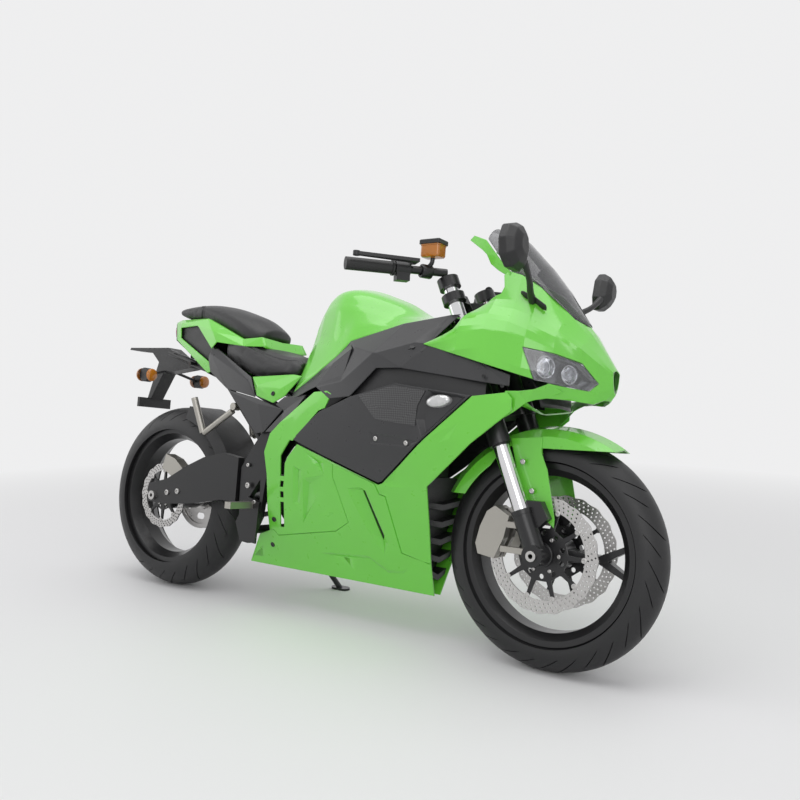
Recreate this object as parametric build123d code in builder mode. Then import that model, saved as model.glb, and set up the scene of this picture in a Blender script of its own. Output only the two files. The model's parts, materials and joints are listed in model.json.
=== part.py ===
from build123d import *
import os
from math import asin, atan2, cos, degrees, hypot, pi, radians, sin, sqrt, tan

# Electric sport motorcycle, parked on its side stand.
# Every piece is drawn on the upright machine: +X forward, +Y to the rider's left, +Z up,
# with the ground point under the rear axle as the origin. The last section leans the whole
# machine onto its stand and moves the origin to the bottom centre of its box.

# ---- driving dimensions, millimetres and degrees -------------------------------------

wheelbase = 1400
drawn_wheelbase = 1400
body_width = 428
rake = 24
fork_offset = 36
lean = 7.5
steering_lock = 27

front_tyre_radius = 293
front_tyre_width = 112
rear_tyre_radius = 306
rear_tyre_width = 148
bead_radius = 218.5
rim_lip_radius = 227
tyre_wall = 9
bead_fit = 0.2
running_fit = 0.05
seat_fit = 0.1
moving_gap = 5

axle_radius = 10
axle_bore_radius = 6
front_hub_half = 58
rear_hub_half = 80
stem_radius = 17
sprocket_thickness = 5
chain_inner = 13
chain_plate = 2.5
chain_plate_half = 7.5
chain_run_inset = 110
roller_radius = 5.08
roller_gap = 0.2
tooth_height = 4.2
tooth_opening = 6.6
front_disc_radius = 145
front_disc_y = 65
rear_disc_radius = 110
rear_disc_y = 87
disc_thickness = 5

fork_spacing = 204
fork_tube_radius = 20.5
fork_lower_radius = 26.5
fork_lower_length = 115
fork_tube_overlap = 70
fork_eye_half = 27

chain_pitch = 15.875
front_teeth = 14
rear_teeth = 44
chain_y = 90
front_sprocket_x = 520
front_sprocket_z = 358

pivot_x = 440
pivot_z = 378
arm_inner_y = 104
arm_outer_y = 130
hanger_y = 123
hanger_thickness = 7
subframe_radius = 11
tail_bracket_half = 28
cover_inner = 113

panel_wall = 4
panel_gap = 4
stay_gap = 0.3

# ---- derived places ----------------------------------------------------------------

front_axle_centre = Vector(wheelbase, 0, front_tyre_radius)
rear_axle_centre = Vector(0, 0, rear_tyre_radius)
trail = (front_tyre_radius * sin(radians(rake)) - fork_offset) / cos(radians(rake))
steer_up = Vector(-sin(radians(rake)), 0, cos(radians(rake)))
steer_forward = Vector(cos(radians(rake)), 0, sin(radians(rake)))
steer_ground = Vector(wheelbase + trail, 0, 0)
axle_along = trail * sin(radians(rake)) + front_tyre_radius * cos(radians(rake))
leg_y = fork_spacing / 2


def side_plane(x, z, y=0, turned=0):
    """Side-view plane through (x, z): local x runs forward, local y up, extrusions go right.

    turned raises local x above the horizontal, in degrees.
    """
    forward = (cos(radians(turned)), 0, sin(radians(turned)))
    return Plane(origin=(x, y, z), x_dir=forward, z_dir=(0, -1, 0))


def fork_plane(along, forward=0):
    """Plane square to the steering axis, `along` millimetres up it from the ground."""
    origin = steer_ground + steer_up * along + steer_forward * forward
    return Plane(origin=origin, x_dir=steer_forward, z_dir=steer_up)


def along_for_leg_height(z):
    """Distance up the steering axis at which the fork leg's centre is at height z."""
    return (z - fork_offset * sin(radians(rake))) / cos(radians(rake))


def wheel_section(centre, elevation):
    """Plane through a wheel's axle whose local y points outwards at `elevation` from +X."""
    angle = radians(elevation)
    return Plane(origin=centre, x_dir=(0, 1, 0), z_dir=(sin(angle), 0, -cos(angle)))


def section_plane(x):
    """Cross-section plane of the machine: local x runs left, local y up."""
    return Plane(origin=(x, 0, 0), x_dir=(0, 1, 0), z_dir=(1, 0, 0))


def body_x(x):
    """Forward place of a body point drawn for the drawn wheelbase.

    The belly between 700 and 1000 takes up a longer or shorter wheelbase, and everything ahead
    of it keeps its place over the front wheel.
    """
    return x + (wheelbase - drawn_wheelbase) * min(1, max(0, (x - 700) / 300))


def on_body(*points):
    """Side-view or plan points of the body, carried along with the wheelbase."""
    return [(body_x(x), other) for x, other in points]


def body_point(x, y, z):
    return Vector(body_x(x), y, z)


def side_outline(points, half_width):
    """Prism of a side-view outline, reaching half_width to both sides."""
    with BuildPart(mode=Mode.PRIVATE) as prism:
        with BuildSketch(side_plane(0, 0)):
            with BuildLine():
                Polyline(*on_body(*points), close=True)
            make_face()
        extrude(amount=half_width, both=True)
    return prism.part


def box_between(low, high):
    """Plain block between two corners."""
    centre = [(a + b) / 2 for a, b in zip(low, high)]
    size = [b - a for a, b in zip(low, high)]
    return Pos(*centre) * Box(*size, mode=Mode.PRIVATE)


def rod(start, end, radius):
    """Round bar between two points."""
    start = Vector(*start)
    span = Vector(*end) - start
    plane = Plane(origin=start, z_dir=span)
    bar = Cylinder(radius, span.length, align=(Align.CENTER, Align.CENTER, Align.MIN),
                   mode=Mode.PRIVATE)
    return plane.location * bar


# ---- parked pose ---------------------------------------------------------------------

# The round crowns of both tyres touch the floor once the machine has leaned, so the wider
# rear tyre needs a very small nose-down pitch as well.
rear_drop = rear_tyre_width / 2 * (1 - cos(radians(lean)))
front_drop = front_tyre_width / 2 * (1 - cos(radians(lean)))
level = degrees(atan2(rear_drop - front_drop, wheelbase))
leaned = Pos(0, 0, rear_drop) * Rot(0, level, 0) * Rot(-lean, 0, 0)
floor = Plane(leaned.inverse())

stand_pivot = Vector(430, 138, 232)
foot_x, foot_y = 520, 268
foot_height = foot_y * tan(radians(lean))
stand_foot = Vector(foot_x, foot_y, foot_height)
stand_down = stand_foot - stand_pivot
stand_folded = Vector(-245, 30, -25)
stand_axis = stand_down.cross(stand_folded).normalized()
stand_plane = Plane(origin=stand_pivot, x_dir=stand_down.normalized(), z_dir=stand_axis)
stand_range = stand_down.get_angle(stand_folded)
stand_eye = 17
stand_thickness = 12
stand_pin_radius = 6

# ---- wheels --------------------------------------------------------------------------


def make_tyre(centre, radius, width):
    """Hollow tyre with a round crown, seated on the rim's bead seats."""
    crown = width / 2
    crown_centre = radius - crown
    bead_half = crown * 0.72
    bead_seat = bead_radius + bead_fit
    lip_top = rim_lip_radius + 2
    cavity = crown - tyre_wall
    cavity_edge = (cavity * cos(radians(15)), crown_centre + cavity * sin(radians(15)))
    with BuildPart() as tyre:
        with BuildSketch(wheel_section(centre, 90)):
            with BuildLine():
                ThreePointArc((-crown, crown_centre), (0, radius), (crown, crown_centre))
                Polyline((crown, crown_centre), (bead_half, lip_top), (bead_half, bead_seat),
                         (bead_half - 7, bead_seat), (bead_half - 7, lip_top), cavity_edge)
                ThreePointArc(cavity_edge, (0, radius - tyre_wall),
                              (-cavity_edge[0], cavity_edge[1]))
                Polyline((-cavity_edge[0], cavity_edge[1]), (7 - bead_half, lip_top),
                         (7 - bead_half, bead_seat), (-bead_half, bead_seat),
                         (-bead_half, lip_top), (-crown, crown_centre))
            make_face()
        revolve(axis=Axis(centre, (0, 1, 0)))
    return tyre


def make_rim(centre, tyre_width, hub_half, spokes_round, first_spoke):
    """Cast wheel whose spokes each fork into two thin arms, from the hub to the rim."""
    bead_half = tyre_width / 2 * 0.72
    lip = bead_half + 6
    well = 203
    axis = Axis(centre, (0, 1, 0))
    wheel_plane = side_plane(centre.X, centre.Z)
    with BuildPart() as spokes:
        with BuildSketch(wheel_plane):
            Circle(46)
            with PolarLocations(0, spokes_round, start_angle=first_spoke):
                with BuildLine():
                    Polyline((30, -17), (126, -9), (206, -49), (206, -35), (148, 0),
                             (206, 35), (206, 49), (126, 9), (30, 17), close=True)
                make_face()
        extrude(amount=hub_half, both=True)
        with BuildSketch(Plane(origin=centre, x_dir=(0, 1, 0), z_dir=(1, 0, 0))):
            with BuildLine():
                Polyline((-hub_half, 0), (-hub_half, 38), (-30, 52), (-17, 110),
                         (-11, 207), (11, 207), (17, 110), (30, 52), (hub_half, 38),
                         (hub_half, 0), close=True)
            make_face()
        revolve(axis=axis, mode=Mode.INTERSECT)
    with BuildPart() as rim:
        add(spokes.part)
        with BuildSketch(Plane(origin=centre, x_dir=(0, 1, 0), z_dir=(1, 0, 0))):
            with BuildLine():
                Polyline((-lip, rim_lip_radius), (-bead_half - 1, rim_lip_radius),
                         (-bead_half - 1, bead_radius), (-bead_half + 14, bead_radius - 1),
                         (-20, well), (20, well), (bead_half - 14, bead_radius - 1),
                         (bead_half + 1, bead_radius), (bead_half + 1, rim_lip_radius),
                         (lip, rim_lip_radius), (lip - 2, bead_radius - 6), (26, well - 8),
                         (-26, well - 8), (2 - lip, bead_radius - 6), close=True)
            make_face()
        revolve(axis=axis)
        with Locations(wheel_plane):
            Hole(axle_radius + running_fit)
    return rim


def make_disc(centre, y, radius, hub_half, holes):
    """Right-hand brake disc: a drilled ring carried on six arms from the hub face."""
    ring_inner = radius * 0.77
    band = radius - ring_inner
    ring_face = y - disc_thickness / 2
    with BuildPart() as disc:
        with BuildSketch(side_plane(centre.X, centre.Z, -ring_face)):
            Circle(radius)
            Circle(ring_inner, mode=Mode.SUBTRACT)
            for row in range(2):
                hole_circle = ring_inner + band * (0.33 + 0.36 * row)
                with PolarLocations(hole_circle, holes, start_angle=180 / holes * row):
                    Circle(3.6, mode=Mode.SUBTRACT)
        extrude(amount=disc_thickness)
        with BuildSketch(side_plane(centre.X, centre.Z, -hub_half - seat_fit)):
            Circle(radius * 0.5)
            with PolarLocations(radius * 0.64, 6):
                Rectangle(radius * 0.42, radius * 0.17)
            Circle(27, mode=Mode.SUBTRACT)
        extrude(amount=y - hub_half - 1)
    return disc


with BuildPart() as front_tyre:
    add(make_tyre(front_axle_centre, front_tyre_radius, front_tyre_width).part)

with BuildPart() as rear_tyre:
    add(make_tyre(rear_axle_centre, rear_tyre_radius, rear_tyre_width).part)

with BuildPart() as front_rim:
    add(make_rim(front_axle_centre, front_tyre_width, front_hub_half, 6, 24.5).part)

with BuildPart() as rear_rim:
    add(make_rim(rear_axle_centre, rear_tyre_width, rear_hub_half, 5, 8).part)

with BuildPart() as front_brake_discs:
    add(make_disc(front_axle_centre, front_disc_y, front_disc_radius, front_hub_half, 18).part)
    mirror(about=Plane.XZ)

with BuildPart() as rear_brake_disc:
    add(make_disc(rear_axle_centre, rear_disc_y, rear_disc_radius, rear_hub_half, 15).part)


# ---- final drive ---------------------------------------------------------------------


def pitch_radius(teeth):
    return chain_pitch / (2 * sin(pi / teeth))


def sprocket_profile(teeth):
    """Toothed outline about the origin, one roller seat straight ahead."""
    radius = pitch_radius(teeth)
    with BuildSketch() as profile:
        Circle(radius + tooth_height)
        with PolarLocations(radius, teeth):
            Circle(roller_radius + roller_gap, mode=Mode.SUBTRACT)
            with BuildLine():
                Polyline((0, -roller_radius), (tooth_height + 2, -tooth_opening),
                         (tooth_height + 2, tooth_opening), (0, roller_radius), close=True)
            make_face(mode=Mode.SUBTRACT)
    return profile.sketch


with BuildPart() as rear_sprocket:
    with BuildSketch(side_plane(0, rear_tyre_radius, chain_y + sprocket_thickness / 2)):
        add(sprocket_profile(rear_teeth))
        with PolarLocations(76, 6, start_angle=30):
            SlotOverall(40, 22, rotation=90, mode=Mode.SUBTRACT)
        Circle(27, mode=Mode.SUBTRACT)
    extrude(amount=sprocket_thickness)
    with BuildSketch(side_plane(0, rear_tyre_radius, chain_y - sprocket_thickness / 2)):
        Circle(52)
        Circle(27, mode=Mode.SUBTRACT)
    extrude(amount=chain_y - sprocket_thickness / 2 - rear_hub_half - seat_fit)


def chain_loop(offset_distance):
    """Loop round both sprockets, offset_distance outside the pitch line, about the rear axle."""
    big = pitch_radius(rear_teeth) + offset_distance
    small = pitch_radius(front_teeth) + offset_distance
    front = Vector(front_sprocket_x, front_sprocket_z - rear_tyre_radius)
    slope = degrees(atan2(front.Y, front.X))
    taper = degrees(asin((big - small) / front.length))
    top = Vector(1, 0).rotate(Axis.Z, slope + 90 - taper)
    bottom = Vector(1, 0).rotate(Axis.Z, slope - 90 + taper)
    ahead = front.normalized()
    with BuildSketch() as loop:
        with BuildLine():
            ThreePointArc(top * big, ahead * -big, bottom * big)
            Line(bottom * big, front + bottom * small)
            ThreePointArc(front + bottom * small, front + ahead * small, front + top * small)
            Line(front + top * small, top * big)
        make_face()
    return loop.sketch


with BuildPart() as chain:
    for plate_face in (chain_y + chain_inner / 2 + chain_plate, chain_y - chain_inner / 2):
        with BuildSketch(side_plane(0, rear_tyre_radius, plate_face)):
            add(chain_loop(chain_plate_half))
            add(chain_loop(-chain_plate_half), mode=Mode.SUBTRACT)
        extrude(amount=chain_plate)
    with BuildSketch(side_plane(0, rear_tyre_radius, chain_y + chain_inner / 2)):
        add(chain_loop(chain_plate_half - 2.5))
        add(chain_loop(2.5 - chain_plate_half), mode=Mode.SUBTRACT)
        with Locations((front_sprocket_x / 2 + 35, 0)):
            Rectangle(front_sprocket_x - 2 * chain_run_inset, 400, mode=Mode.INTERSECT)
    extrude(amount=chain_inner)
    wrapped = 360 / front_teeth
    with BuildSketch(side_plane(front_sprocket_x, front_sprocket_z, chain_y + chain_inner / 2)):
        with PolarLocations(pitch_radius(front_teeth), 7, start_angle=-3 * wrapped,
                            angular_range=6 * wrapped, endpoint=True):
            Circle(roller_radius)
    extrude(amount=chain_inner)


# ---- front end -----------------------------------------------------------------------

fork_top_along = along_for_leg_height(985)
lower_clamp_along = along_for_leg_height(655)
upper_clamp_along = along_for_leg_height(935)

with BuildPart() as front_axle:
    with Locations(side_plane(wheelbase, front_tyre_radius)):
        Cylinder(axle_radius, 2 * (leg_y + fork_eye_half + 1))
    for sign in (-1, 1):
        inner = front_hub_half + 0.8
        outer = leg_y - fork_eye_half - 0.3
        with Locations(side_plane(wheelbase, front_tyre_radius, sign * (inner + outer) / 2)):
            Cylinder(15, outer - inner)
        nut_y = leg_y + fork_eye_half + 3.2
        with Locations(side_plane(wheelbase, front_tyre_radius, sign * nut_y)):
            Cylinder(13, 6)
        with Locations(side_plane(wheelbase, front_tyre_radius)):
            Cylinder(axle_bore_radius, 400, mode=Mode.SUBTRACT)

with BuildPart() as fork_tubes:
    with Locations(fork_plane(0, fork_offset)):
        for sign in (-1, 1):
            with Locations((0, sign * leg_y, axle_along + fork_tube_overlap + 0.3)):
                Cylinder(fork_tube_radius, fork_top_along - axle_along - fork_tube_overlap,
                         align=(Align.CENTER, Align.CENTER, Align.MIN))

with BuildPart() as fork_lowers:
    for sign in (-1, 1):
        with Locations(fork_plane(axle_along, fork_offset)):
            with Locations((0, sign * leg_y, 0)):
                Cylinder(fork_lower_radius, fork_lower_length,
                         align=(Align.CENTER, Align.CENTER, Align.MIN))
            with Locations((0, sign * leg_y, fork_lower_length - 12)):
                Cylinder(fork_lower_radius + 1.5, 12,
                         align=(Align.CENTER, Align.CENTER, Align.MIN))
        with Locations(side_plane(wheelbase, front_tyre_radius, sign * leg_y)):
            Cylinder(27, 2 * fork_eye_half)
        lug_face = max(sign * leg_y, sign * (leg_y - fork_lower_radius))
        with BuildSketch(side_plane(wheelbase, front_tyre_radius, lug_face)):
            with BuildLine():
                Polyline((-50, 79), (-8, 59), (24, 91), (2, 131), (-38, 131), close=True)
            make_face()
        extrude(amount=fork_lower_radius)
        with Locations(fork_plane(axle_along, fork_offset)):
            with Locations((0, sign * leg_y, fork_tube_overlap)):
                Cylinder(fork_tube_radius + seat_fit, 200,
                         align=(Align.CENTER, Align.CENTER, Align.MIN), mode=Mode.SUBTRACT)
    with Locations(side_plane(wheelbase, front_tyre_radius)):
        Cylinder(axle_radius + seat_fit, 400, mode=Mode.SUBTRACT)


def clamp_plate(along, thickness, boss_depth):
    """Triple clamp: one plate through both fork tubes and the steering stem."""
    with BuildPart() as clamp:
        with BuildSketch(fork_plane(along - thickness / 2, fork_offset)):
            with Locations((0, -leg_y), (0, leg_y)):
                Circle(fork_tube_radius + 11)
            with Locations((-fork_offset, 0)):
                Circle(32)
            with BuildLine():
                Polyline((16, leg_y), (16, 50), (-4, 0), (16, -50), (16, -leg_y),
                         (-20, -leg_y), (-fork_offset - 22, -24), (-fork_offset - 22, 24),
                         (-20, leg_y), close=True)
            make_face()
        extrude(amount=thickness)
        with BuildSketch(fork_plane(along - thickness / 2 - boss_depth, fork_offset)):
            with Locations((0, -leg_y), (0, leg_y)):
                Circle(fork_tube_radius + 8)
        extrude(amount=boss_depth + thickness / 2)
        with Locations(fork_plane(along, fork_offset)):
            with Locations((0, -leg_y, 0), (0, leg_y, 0)):
                Cylinder(fork_tube_radius + seat_fit, 400, mode=Mode.SUBTRACT)
    return clamp


head_low = lower_clamp_along + 20
head_high = upper_clamp_along - 16

with BuildPart() as lower_clamp:
    add(clamp_plate(lower_clamp_along, 36, 90).part)
    with Locations(fork_plane(lower_clamp_along)):
        Cylinder(stem_radius, upper_clamp_along - lower_clamp_along - 12,
                 align=(Align.CENTER, Align.CENTER, Align.MIN))

with BuildPart() as upper_clamp:
    add(clamp_plate(upper_clamp_along, 24, 0).part)
    with Locations(fork_plane(upper_clamp_along + 12)):
        Cylinder(17, 10, align=(Align.CENTER, Align.CENTER, Align.MIN))

bar_inner = Vector(wheelbase - 305, -leg_y - 17, 1004)
bar_outer = Vector(wheelbase - 475, -340, 993)
bar_direction = (bar_outer - bar_inner).normalized()
grip_length = 130
lever_clamp_at = bar_outer - bar_direction * (grip_length + 24)


def bar_plane(distance):
    """Plane square to the right handlebar, `distance` in from its outer end."""
    return Plane(origin=bar_outer - bar_direction * distance, x_dir=(0, 0, 1),
                 z_dir=bar_direction)


with BuildPart() as handlebars:
    with Locations(bar_plane(6)):
        Cylinder(11, (bar_outer - bar_inner).length - 6,
                 align=(Align.CENTER, Align.CENTER, Align.MAX))
    with Locations(fork_plane(fork_top_along - 8, fork_offset)):
        with Locations((0, -leg_y, 0)):
            Cylinder(fork_tube_radius + 9, 30)
            Cylinder(fork_tube_radius + seat_fit, 60, mode=Mode.SUBTRACT)
    mirror(about=Plane.XZ)

with BuildPart() as grips:
    with Locations(bar_plane(0)):
        Cylinder(17, grip_length, align=(Align.CENTER, Align.CENTER, Align.MAX))
    with Locations(bar_plane(grip_length - 5)):
        Cylinder(21, 5, align=(Align.CENTER, Align.CENTER, Align.MAX))
    with Locations(bar_plane(6)):
        Cylinder(11 + seat_fit, grip_length + 20,
                 align=(Align.CENTER, Align.CENTER, Align.MAX), mode=Mode.SUBTRACT)
    mirror(about=Plane.XZ)

with BuildPart() as hand_controls:
    with Locations(bar_plane(grip_length + 4)):
        Cylinder(19, 40, align=(Align.CENTER, Align.CENTER, Align.MAX))
        with Locations((-20, 0, -20)):
            Box(26, 30, 36)
    with BuildSketch(Plane(origin=bar_outer - bar_direction * (grip_length + 24) + Vector(0, 0, 12),
                           z_dir=(0, 0, 1))):
        with BuildLine():
            Polyline((-8, 12), (30, 16), (62, -10), (-50, -128), (-64, -122), (36, 0), close=True)
        make_face()
    extrude(amount=9)
    with Locations(Plane(origin=bar_outer - bar_direction * (grip_length + 24)
                         + Vector(-57, -125, 16.5))):
        Cylinder(9, 12)
    with Locations(bar_plane(grip_length + 2)):
        Cylinder(11 + seat_fit, 60, align=(Align.CENTER, Align.CENTER, Align.MAX),
                 mode=Mode.SUBTRACT)
    mirror(about=Plane.XZ)

reservoir_base = Vector(wheelbase - 322, -165, 1036)

with BuildPart() as brake_reservoir:
    with Locations(Plane(origin=reservoir_base)):
        Box(58, 42, 34, align=(Align.CENTER, Align.CENTER, Align.MIN))
        with Locations((0, 0, -18)):
            Cylinder(8, 18, align=(Align.CENTER, Align.CENTER, Align.MIN))
    with Locations(bar_plane(208)):
        Cylinder(18, 30, align=(Align.CENTER, Align.CENTER, Align.MAX))
    add(rod(reservoir_base + Vector(-18, -1, -28), reservoir_base + Vector(0, 0, -12), 8))
    with Locations(bar_plane(200)):
        Cylinder(11 + seat_fit, 50, align=(Align.CENTER, Align.CENTER, Align.MAX),
                 mode=Mode.SUBTRACT)

with BuildPart() as reservoir_cap:
    with BuildSketch(Plane(origin=reservoir_base + Vector(0, 0, 34 + seat_fit))):
        RectangleRounded(64, 48, 5)
    extrude(amount=12)
    chamfer(reservoir_cap.faces().sort_by(Axis.Z)[-1].edges(), 2)

caliper_angle = 162

with BuildPart() as front_calipers:
    with BuildSketch(side_plane(wheelbase, front_tyre_radius, -38, caliper_angle)):
        with BuildLine():
            Polyline((104, -58), (150, -66), (166, -44), (170, 0), (166, 44), (150, 66),
                     (104, 58), (98, 0), close=True)
        make_face()
    extrude(amount=62)
    with BuildSketch(side_plane(wheelbase, front_tyre_radius, moving_gap - front_hub_half)):
        Circle(front_disc_radius + moving_gap)
    extrude(amount=front_disc_y + disc_thickness / 2 - front_hub_half + 2 * moving_gap,
            mode=Mode.SUBTRACT)
    for height in (66, 4):
        with Locations(side_plane(wheelbase - 52, front_tyre_radius + height, -leg_y + 8)):
            Box(70 + (66 - height) * 0.4, 15, 16)
    with Locations(fork_plane(axle_along, fork_offset)):
        with Locations((0, -leg_y, 0)):
            Cylinder(fork_lower_radius + 0.3, 300, mode=Mode.SUBTRACT)
    with Locations(side_plane(wheelbase, front_tyre_radius, -leg_y)):
        Cylinder(27.3, 60, mode=Mode.SUBTRACT)
    mirror(about=Plane.XZ)

fender_plate_inner = front_disc_y + disc_thickness / 2 + moving_gap
fender_plate_outer = leg_y - fork_lower_radius - stay_gap

with BuildPart() as front_fender:
    with BuildSketch(wheel_section(front_axle_centre, 156)):
        with BuildLine():
            Polyline((-72, 262), (-72, 292), (-50, 312), (0, 322), (50, 312), (72, 292),
                     (72, 262), (69, 262), (69, 290), (48, 309), (0, 318.5), (-48, 309),
                     (-69, 290), (-69, 262), close=True)
        make_face()
    revolve(axis=Axis(front_axle_centre, (0, 1, 0)), revolution_arc=98)
    # the blade's lower edges, then a gap above the tyre's shoulders behind the fork
    with BuildSketch(side_plane(wheelbase, front_tyre_radius)):
        with BuildLine():
            Polyline((-214, 129), (-193, 157), (-150, 222), (-138, 236), (-104, 262),
                     (-16, 260), (20, 262), (164, 264), (250, 264), (250, -100), (-350, -100),
                     (-350, 129), close=True)
        make_face()
    extrude(amount=200, both=True, mode=Mode.SUBTRACT)
    with BuildSketch(side_plane(wheelbase, front_tyre_radius, -fender_plate_inner + 5)):
        with BuildLine():
            Polyline((-103, 282), (-71, 173), (-77, 152), (29, 69), (30, 89), (3, 209),
                     (-6, 228), (-16, 252), (-16, 290), close=True)
        make_face()
    extrude(amount=fender_plate_outer - fender_plate_inner + 5)
    with BuildSketch(side_plane(wheelbase, front_tyre_radius, -fender_plate_inner + 5.1)):
        with BuildLine():
            Polyline((-200, 247), (100, 247), (100, 0), (-200, 0), close=True)
        make_face()
    extrude(amount=5.1, mode=Mode.SUBTRACT)
    mirror(about=Plane.XZ)


# ---- chassis -------------------------------------------------------------------------

plate_y = arm_inner_y
plate_inner = plate_y - 2
plate_outer = plate_y + 18
subframe_y = plate_inner - stay_gap - subframe_radius
case_half = 88

shock_top_x, shock_top_z = 505, 575
shock_foot_x, shock_foot_z = 362, 395

with BuildPart() as main_frame:
    with Locations(fork_plane(head_low)):
        Cylinder(31, head_high - head_low, align=(Align.CENTER, Align.CENTER, Align.MIN))
    for sign in (-1, 1):
        with BuildSketch(side_plane(0, 0, max(sign * plate_inner, sign * plate_outer))):
            with BuildLine():
                Polyline(*on_body((395, 430), (398, 320), (412, 205), (450, 202), (490, 285),
                                  (505, 420), (590, 560), (900, 720), (1085, 780), (1070, 840),
                                  (880, 780), (540, 640), (440, 500)), close=True)
            make_face()
            with BuildLine():
                Polyline((438, 340), (480, 400), (486, 330), close=True)
            make_face(mode=Mode.SUBTRACT)
        extrude(amount=plate_outer - plate_inner)
        for x, z in ((640, 630), (722, 647)):
            add(rod(body_point(x, sign * (case_half + stay_gap), z),
                    body_point(x, sign * plate_outer, z), 11))
    with BuildSketch(Plane.XY.offset(750)):
        with BuildLine():
            Polyline(*on_body((1000, -plate_outer), (1066, -plate_outer), (1066, -84),
                              (1145, -30), (1145, 30), (1066, 84), (1066, plate_outer),
                              (1000, plate_outer), (1000, plate_inner), (1040, 60), (1085, 30),
                              (1085, -30), (1040, -60), (1000, -plate_inner)), close=True)
        make_face()
    extrude(amount=80)
    for x, z in ((432, 240), (560, 560), (shock_top_x, shock_top_z)):
        with Locations(side_plane(x, z)):
            Cylinder(13, 2 * plate_y)
    with Locations(fork_plane(lower_clamp_along)):
        Cylinder(stem_radius + running_fit, 600, mode=Mode.SUBTRACT)
    with Locations(side_plane(pivot_x, pivot_z)):
        Cylinder(10, 2 * plate_y + 30)
    with Locations(stand_plane):
        with Locations((0, 0, -stand_thickness / 2 - 0.3)):
            Cylinder(stand_eye - 1, 34, align=(Align.CENTER, Align.CENTER, Align.MAX))
        Cylinder(stand_pin_radius, stand_thickness + 0.7)
        with Locations((0, 0, stand_thickness / 2 + 0.3)):
            Cylinder(11, 6, align=(Align.CENTER, Align.CENTER, Align.MIN))

with BuildPart() as swingarm:
    with BuildSketch(side_plane(0, 0, -arm_inner_y)):
        with BuildLine():
            Polyline((-28, 285), (60, 283), (200, 298), (320, 322), (388, 322), (388, 460),
                     (320, 470), (230, 450), (150, 415), (60, 366), (-28, 345), close=True)
        make_face()
    extrude(amount=arm_outer_y - arm_inner_y)
    mirror(about=Plane.XZ)
    with BuildSketch(side_plane(0, 0, arm_inner_y)):
        with BuildLine():
            Polyline((335, 306), (388, 318), (388, 384), (335, 376), close=True)
        make_face()
    extrude(amount=2 * arm_inner_y)
    with BuildSketch(side_plane(0, 0, 76)):
        with BuildLine():
            Polyline((380, 330), (pivot_x, pivot_z - 24), (pivot_x, pivot_z + 24), (380, 384),
                     close=True)
        make_face()
        with Locations((pivot_x, pivot_z)):
            Circle(24)
    extrude(amount=176)
    with Locations(side_plane(pivot_x, pivot_z)):
        Cylinder(10 + running_fit, 400, mode=Mode.SUBTRACT)
    with Locations(side_plane(0, rear_tyre_radius)):
        Cylinder(axle_radius + seat_fit, 400, mode=Mode.SUBTRACT)

with BuildPart() as rear_axle:
    with Locations(side_plane(0, rear_tyre_radius)):
        Cylinder(axle_radius, 2 * arm_outer_y + 16)
    for sign in (-1, 1):
        inner = rear_hub_half + 0.8
        outer = arm_inner_y - 0.2
        with Locations(side_plane(0, rear_tyre_radius, sign * (inner + outer) / 2)):
            Cylinder(15, outer - inner)
        with Locations(side_plane(0, rear_tyre_radius, sign * (arm_outer_y + 5))):
            Cylinder(15, 9.6)
        with Locations(side_plane(0, rear_tyre_radius)):
            Cylinder(axle_bore_radius, 400, mode=Mode.SUBTRACT)

case_rear = 706

with BuildPart() as motor:
    with BuildSketch(side_plane(596, 352, 70)):
        Circle(86)
    extrude(amount=140)
    with BuildSketch(side_plane(front_sprocket_x, front_sprocket_z, 70)):
        Circle(38)
        with BuildLine():
            Polyline((0, -38), (60, -86), (60, 76), (0, 38), close=True)
        make_face()
    extrude(amount=140)
    with Locations(side_plane(front_sprocket_x, front_sprocket_z, 80)):
        Cylinder(14, 28)
    add(box_between((660, -45, 318), (body_x(case_rear) - stay_gap, 45, 386)))
    with BuildSketch(side_plane(front_sprocket_x, front_sprocket_z,
                                chain_y + sprocket_thickness / 2)):
        add(sprocket_profile(front_teeth))
    extrude(amount=sprocket_thickness)

with BuildPart() as battery_case:
    with BuildSketch(side_plane(0, 0, 90)):
        with BuildLine():
            Polyline(*on_body((case_rear, 240), (1020, 240), (1020, 660), (580, 660), (580, 480),
                              (case_rear, 480)), close=True)
        make_face()
    extrude(amount=180)
    with BuildSketch(section_plane(570)):
        with BuildLine():
            Polyline((-50, 240), (50, 240), (case_half, 330), (case_half, 660),
                     (-case_half, 660), (-case_half, 330), close=True)
        make_face()
    extrude(amount=body_x(1040) - 570, mode=Mode.INTERSECT)

with BuildPart() as rear_shock:
    foot = Vector(shock_foot_x, 0, shock_foot_z)
    reach = Vector(shock_top_x, 0, shock_top_z) - foot
    add(rod(foot, foot + reach * 0.9, 11))
    add(rod(foot + reach * 0.14, foot + reach * 0.86, 32))
    for centre in (foot, foot + reach):
        with Locations(side_plane(centre.X, centre.Z)):
            Cylinder(20, 34)
    with Locations(side_plane(shock_top_x, shock_top_z)):
        Cylinder(13 + stay_gap, 60, mode=Mode.SUBTRACT)
    with BuildSketch(side_plane(0, 0)):
        with BuildLine():
            Polyline((300, 300), (420, 300), (420, 384 + 4.6 + stay_gap), (388, 384 + stay_gap),
                     (335, 376 + stay_gap), (300, 371 + stay_gap), close=True)
        make_face()
    extrude(amount=60, both=True, mode=Mode.SUBTRACT)

with BuildPart() as rear_hugger:
    with BuildSketch(wheel_section(rear_axle_centre, 76)):
        with BuildLine():
            Polyline((-78, 274), (-72, 318), (72, 318), (78, 274), (75, 274), (69, 315),
                     (-69, 315), (-75, 274), close=True)
        make_face()
    revolve(axis=Axis(rear_axle_centre, (0, 1, 0)), revolution_arc=60)
    for sign in (-1, 1):
        add(rod((270, sign * 73, 440), (270, sign * (arm_inner_y - stay_gap), 440), 6))

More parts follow.
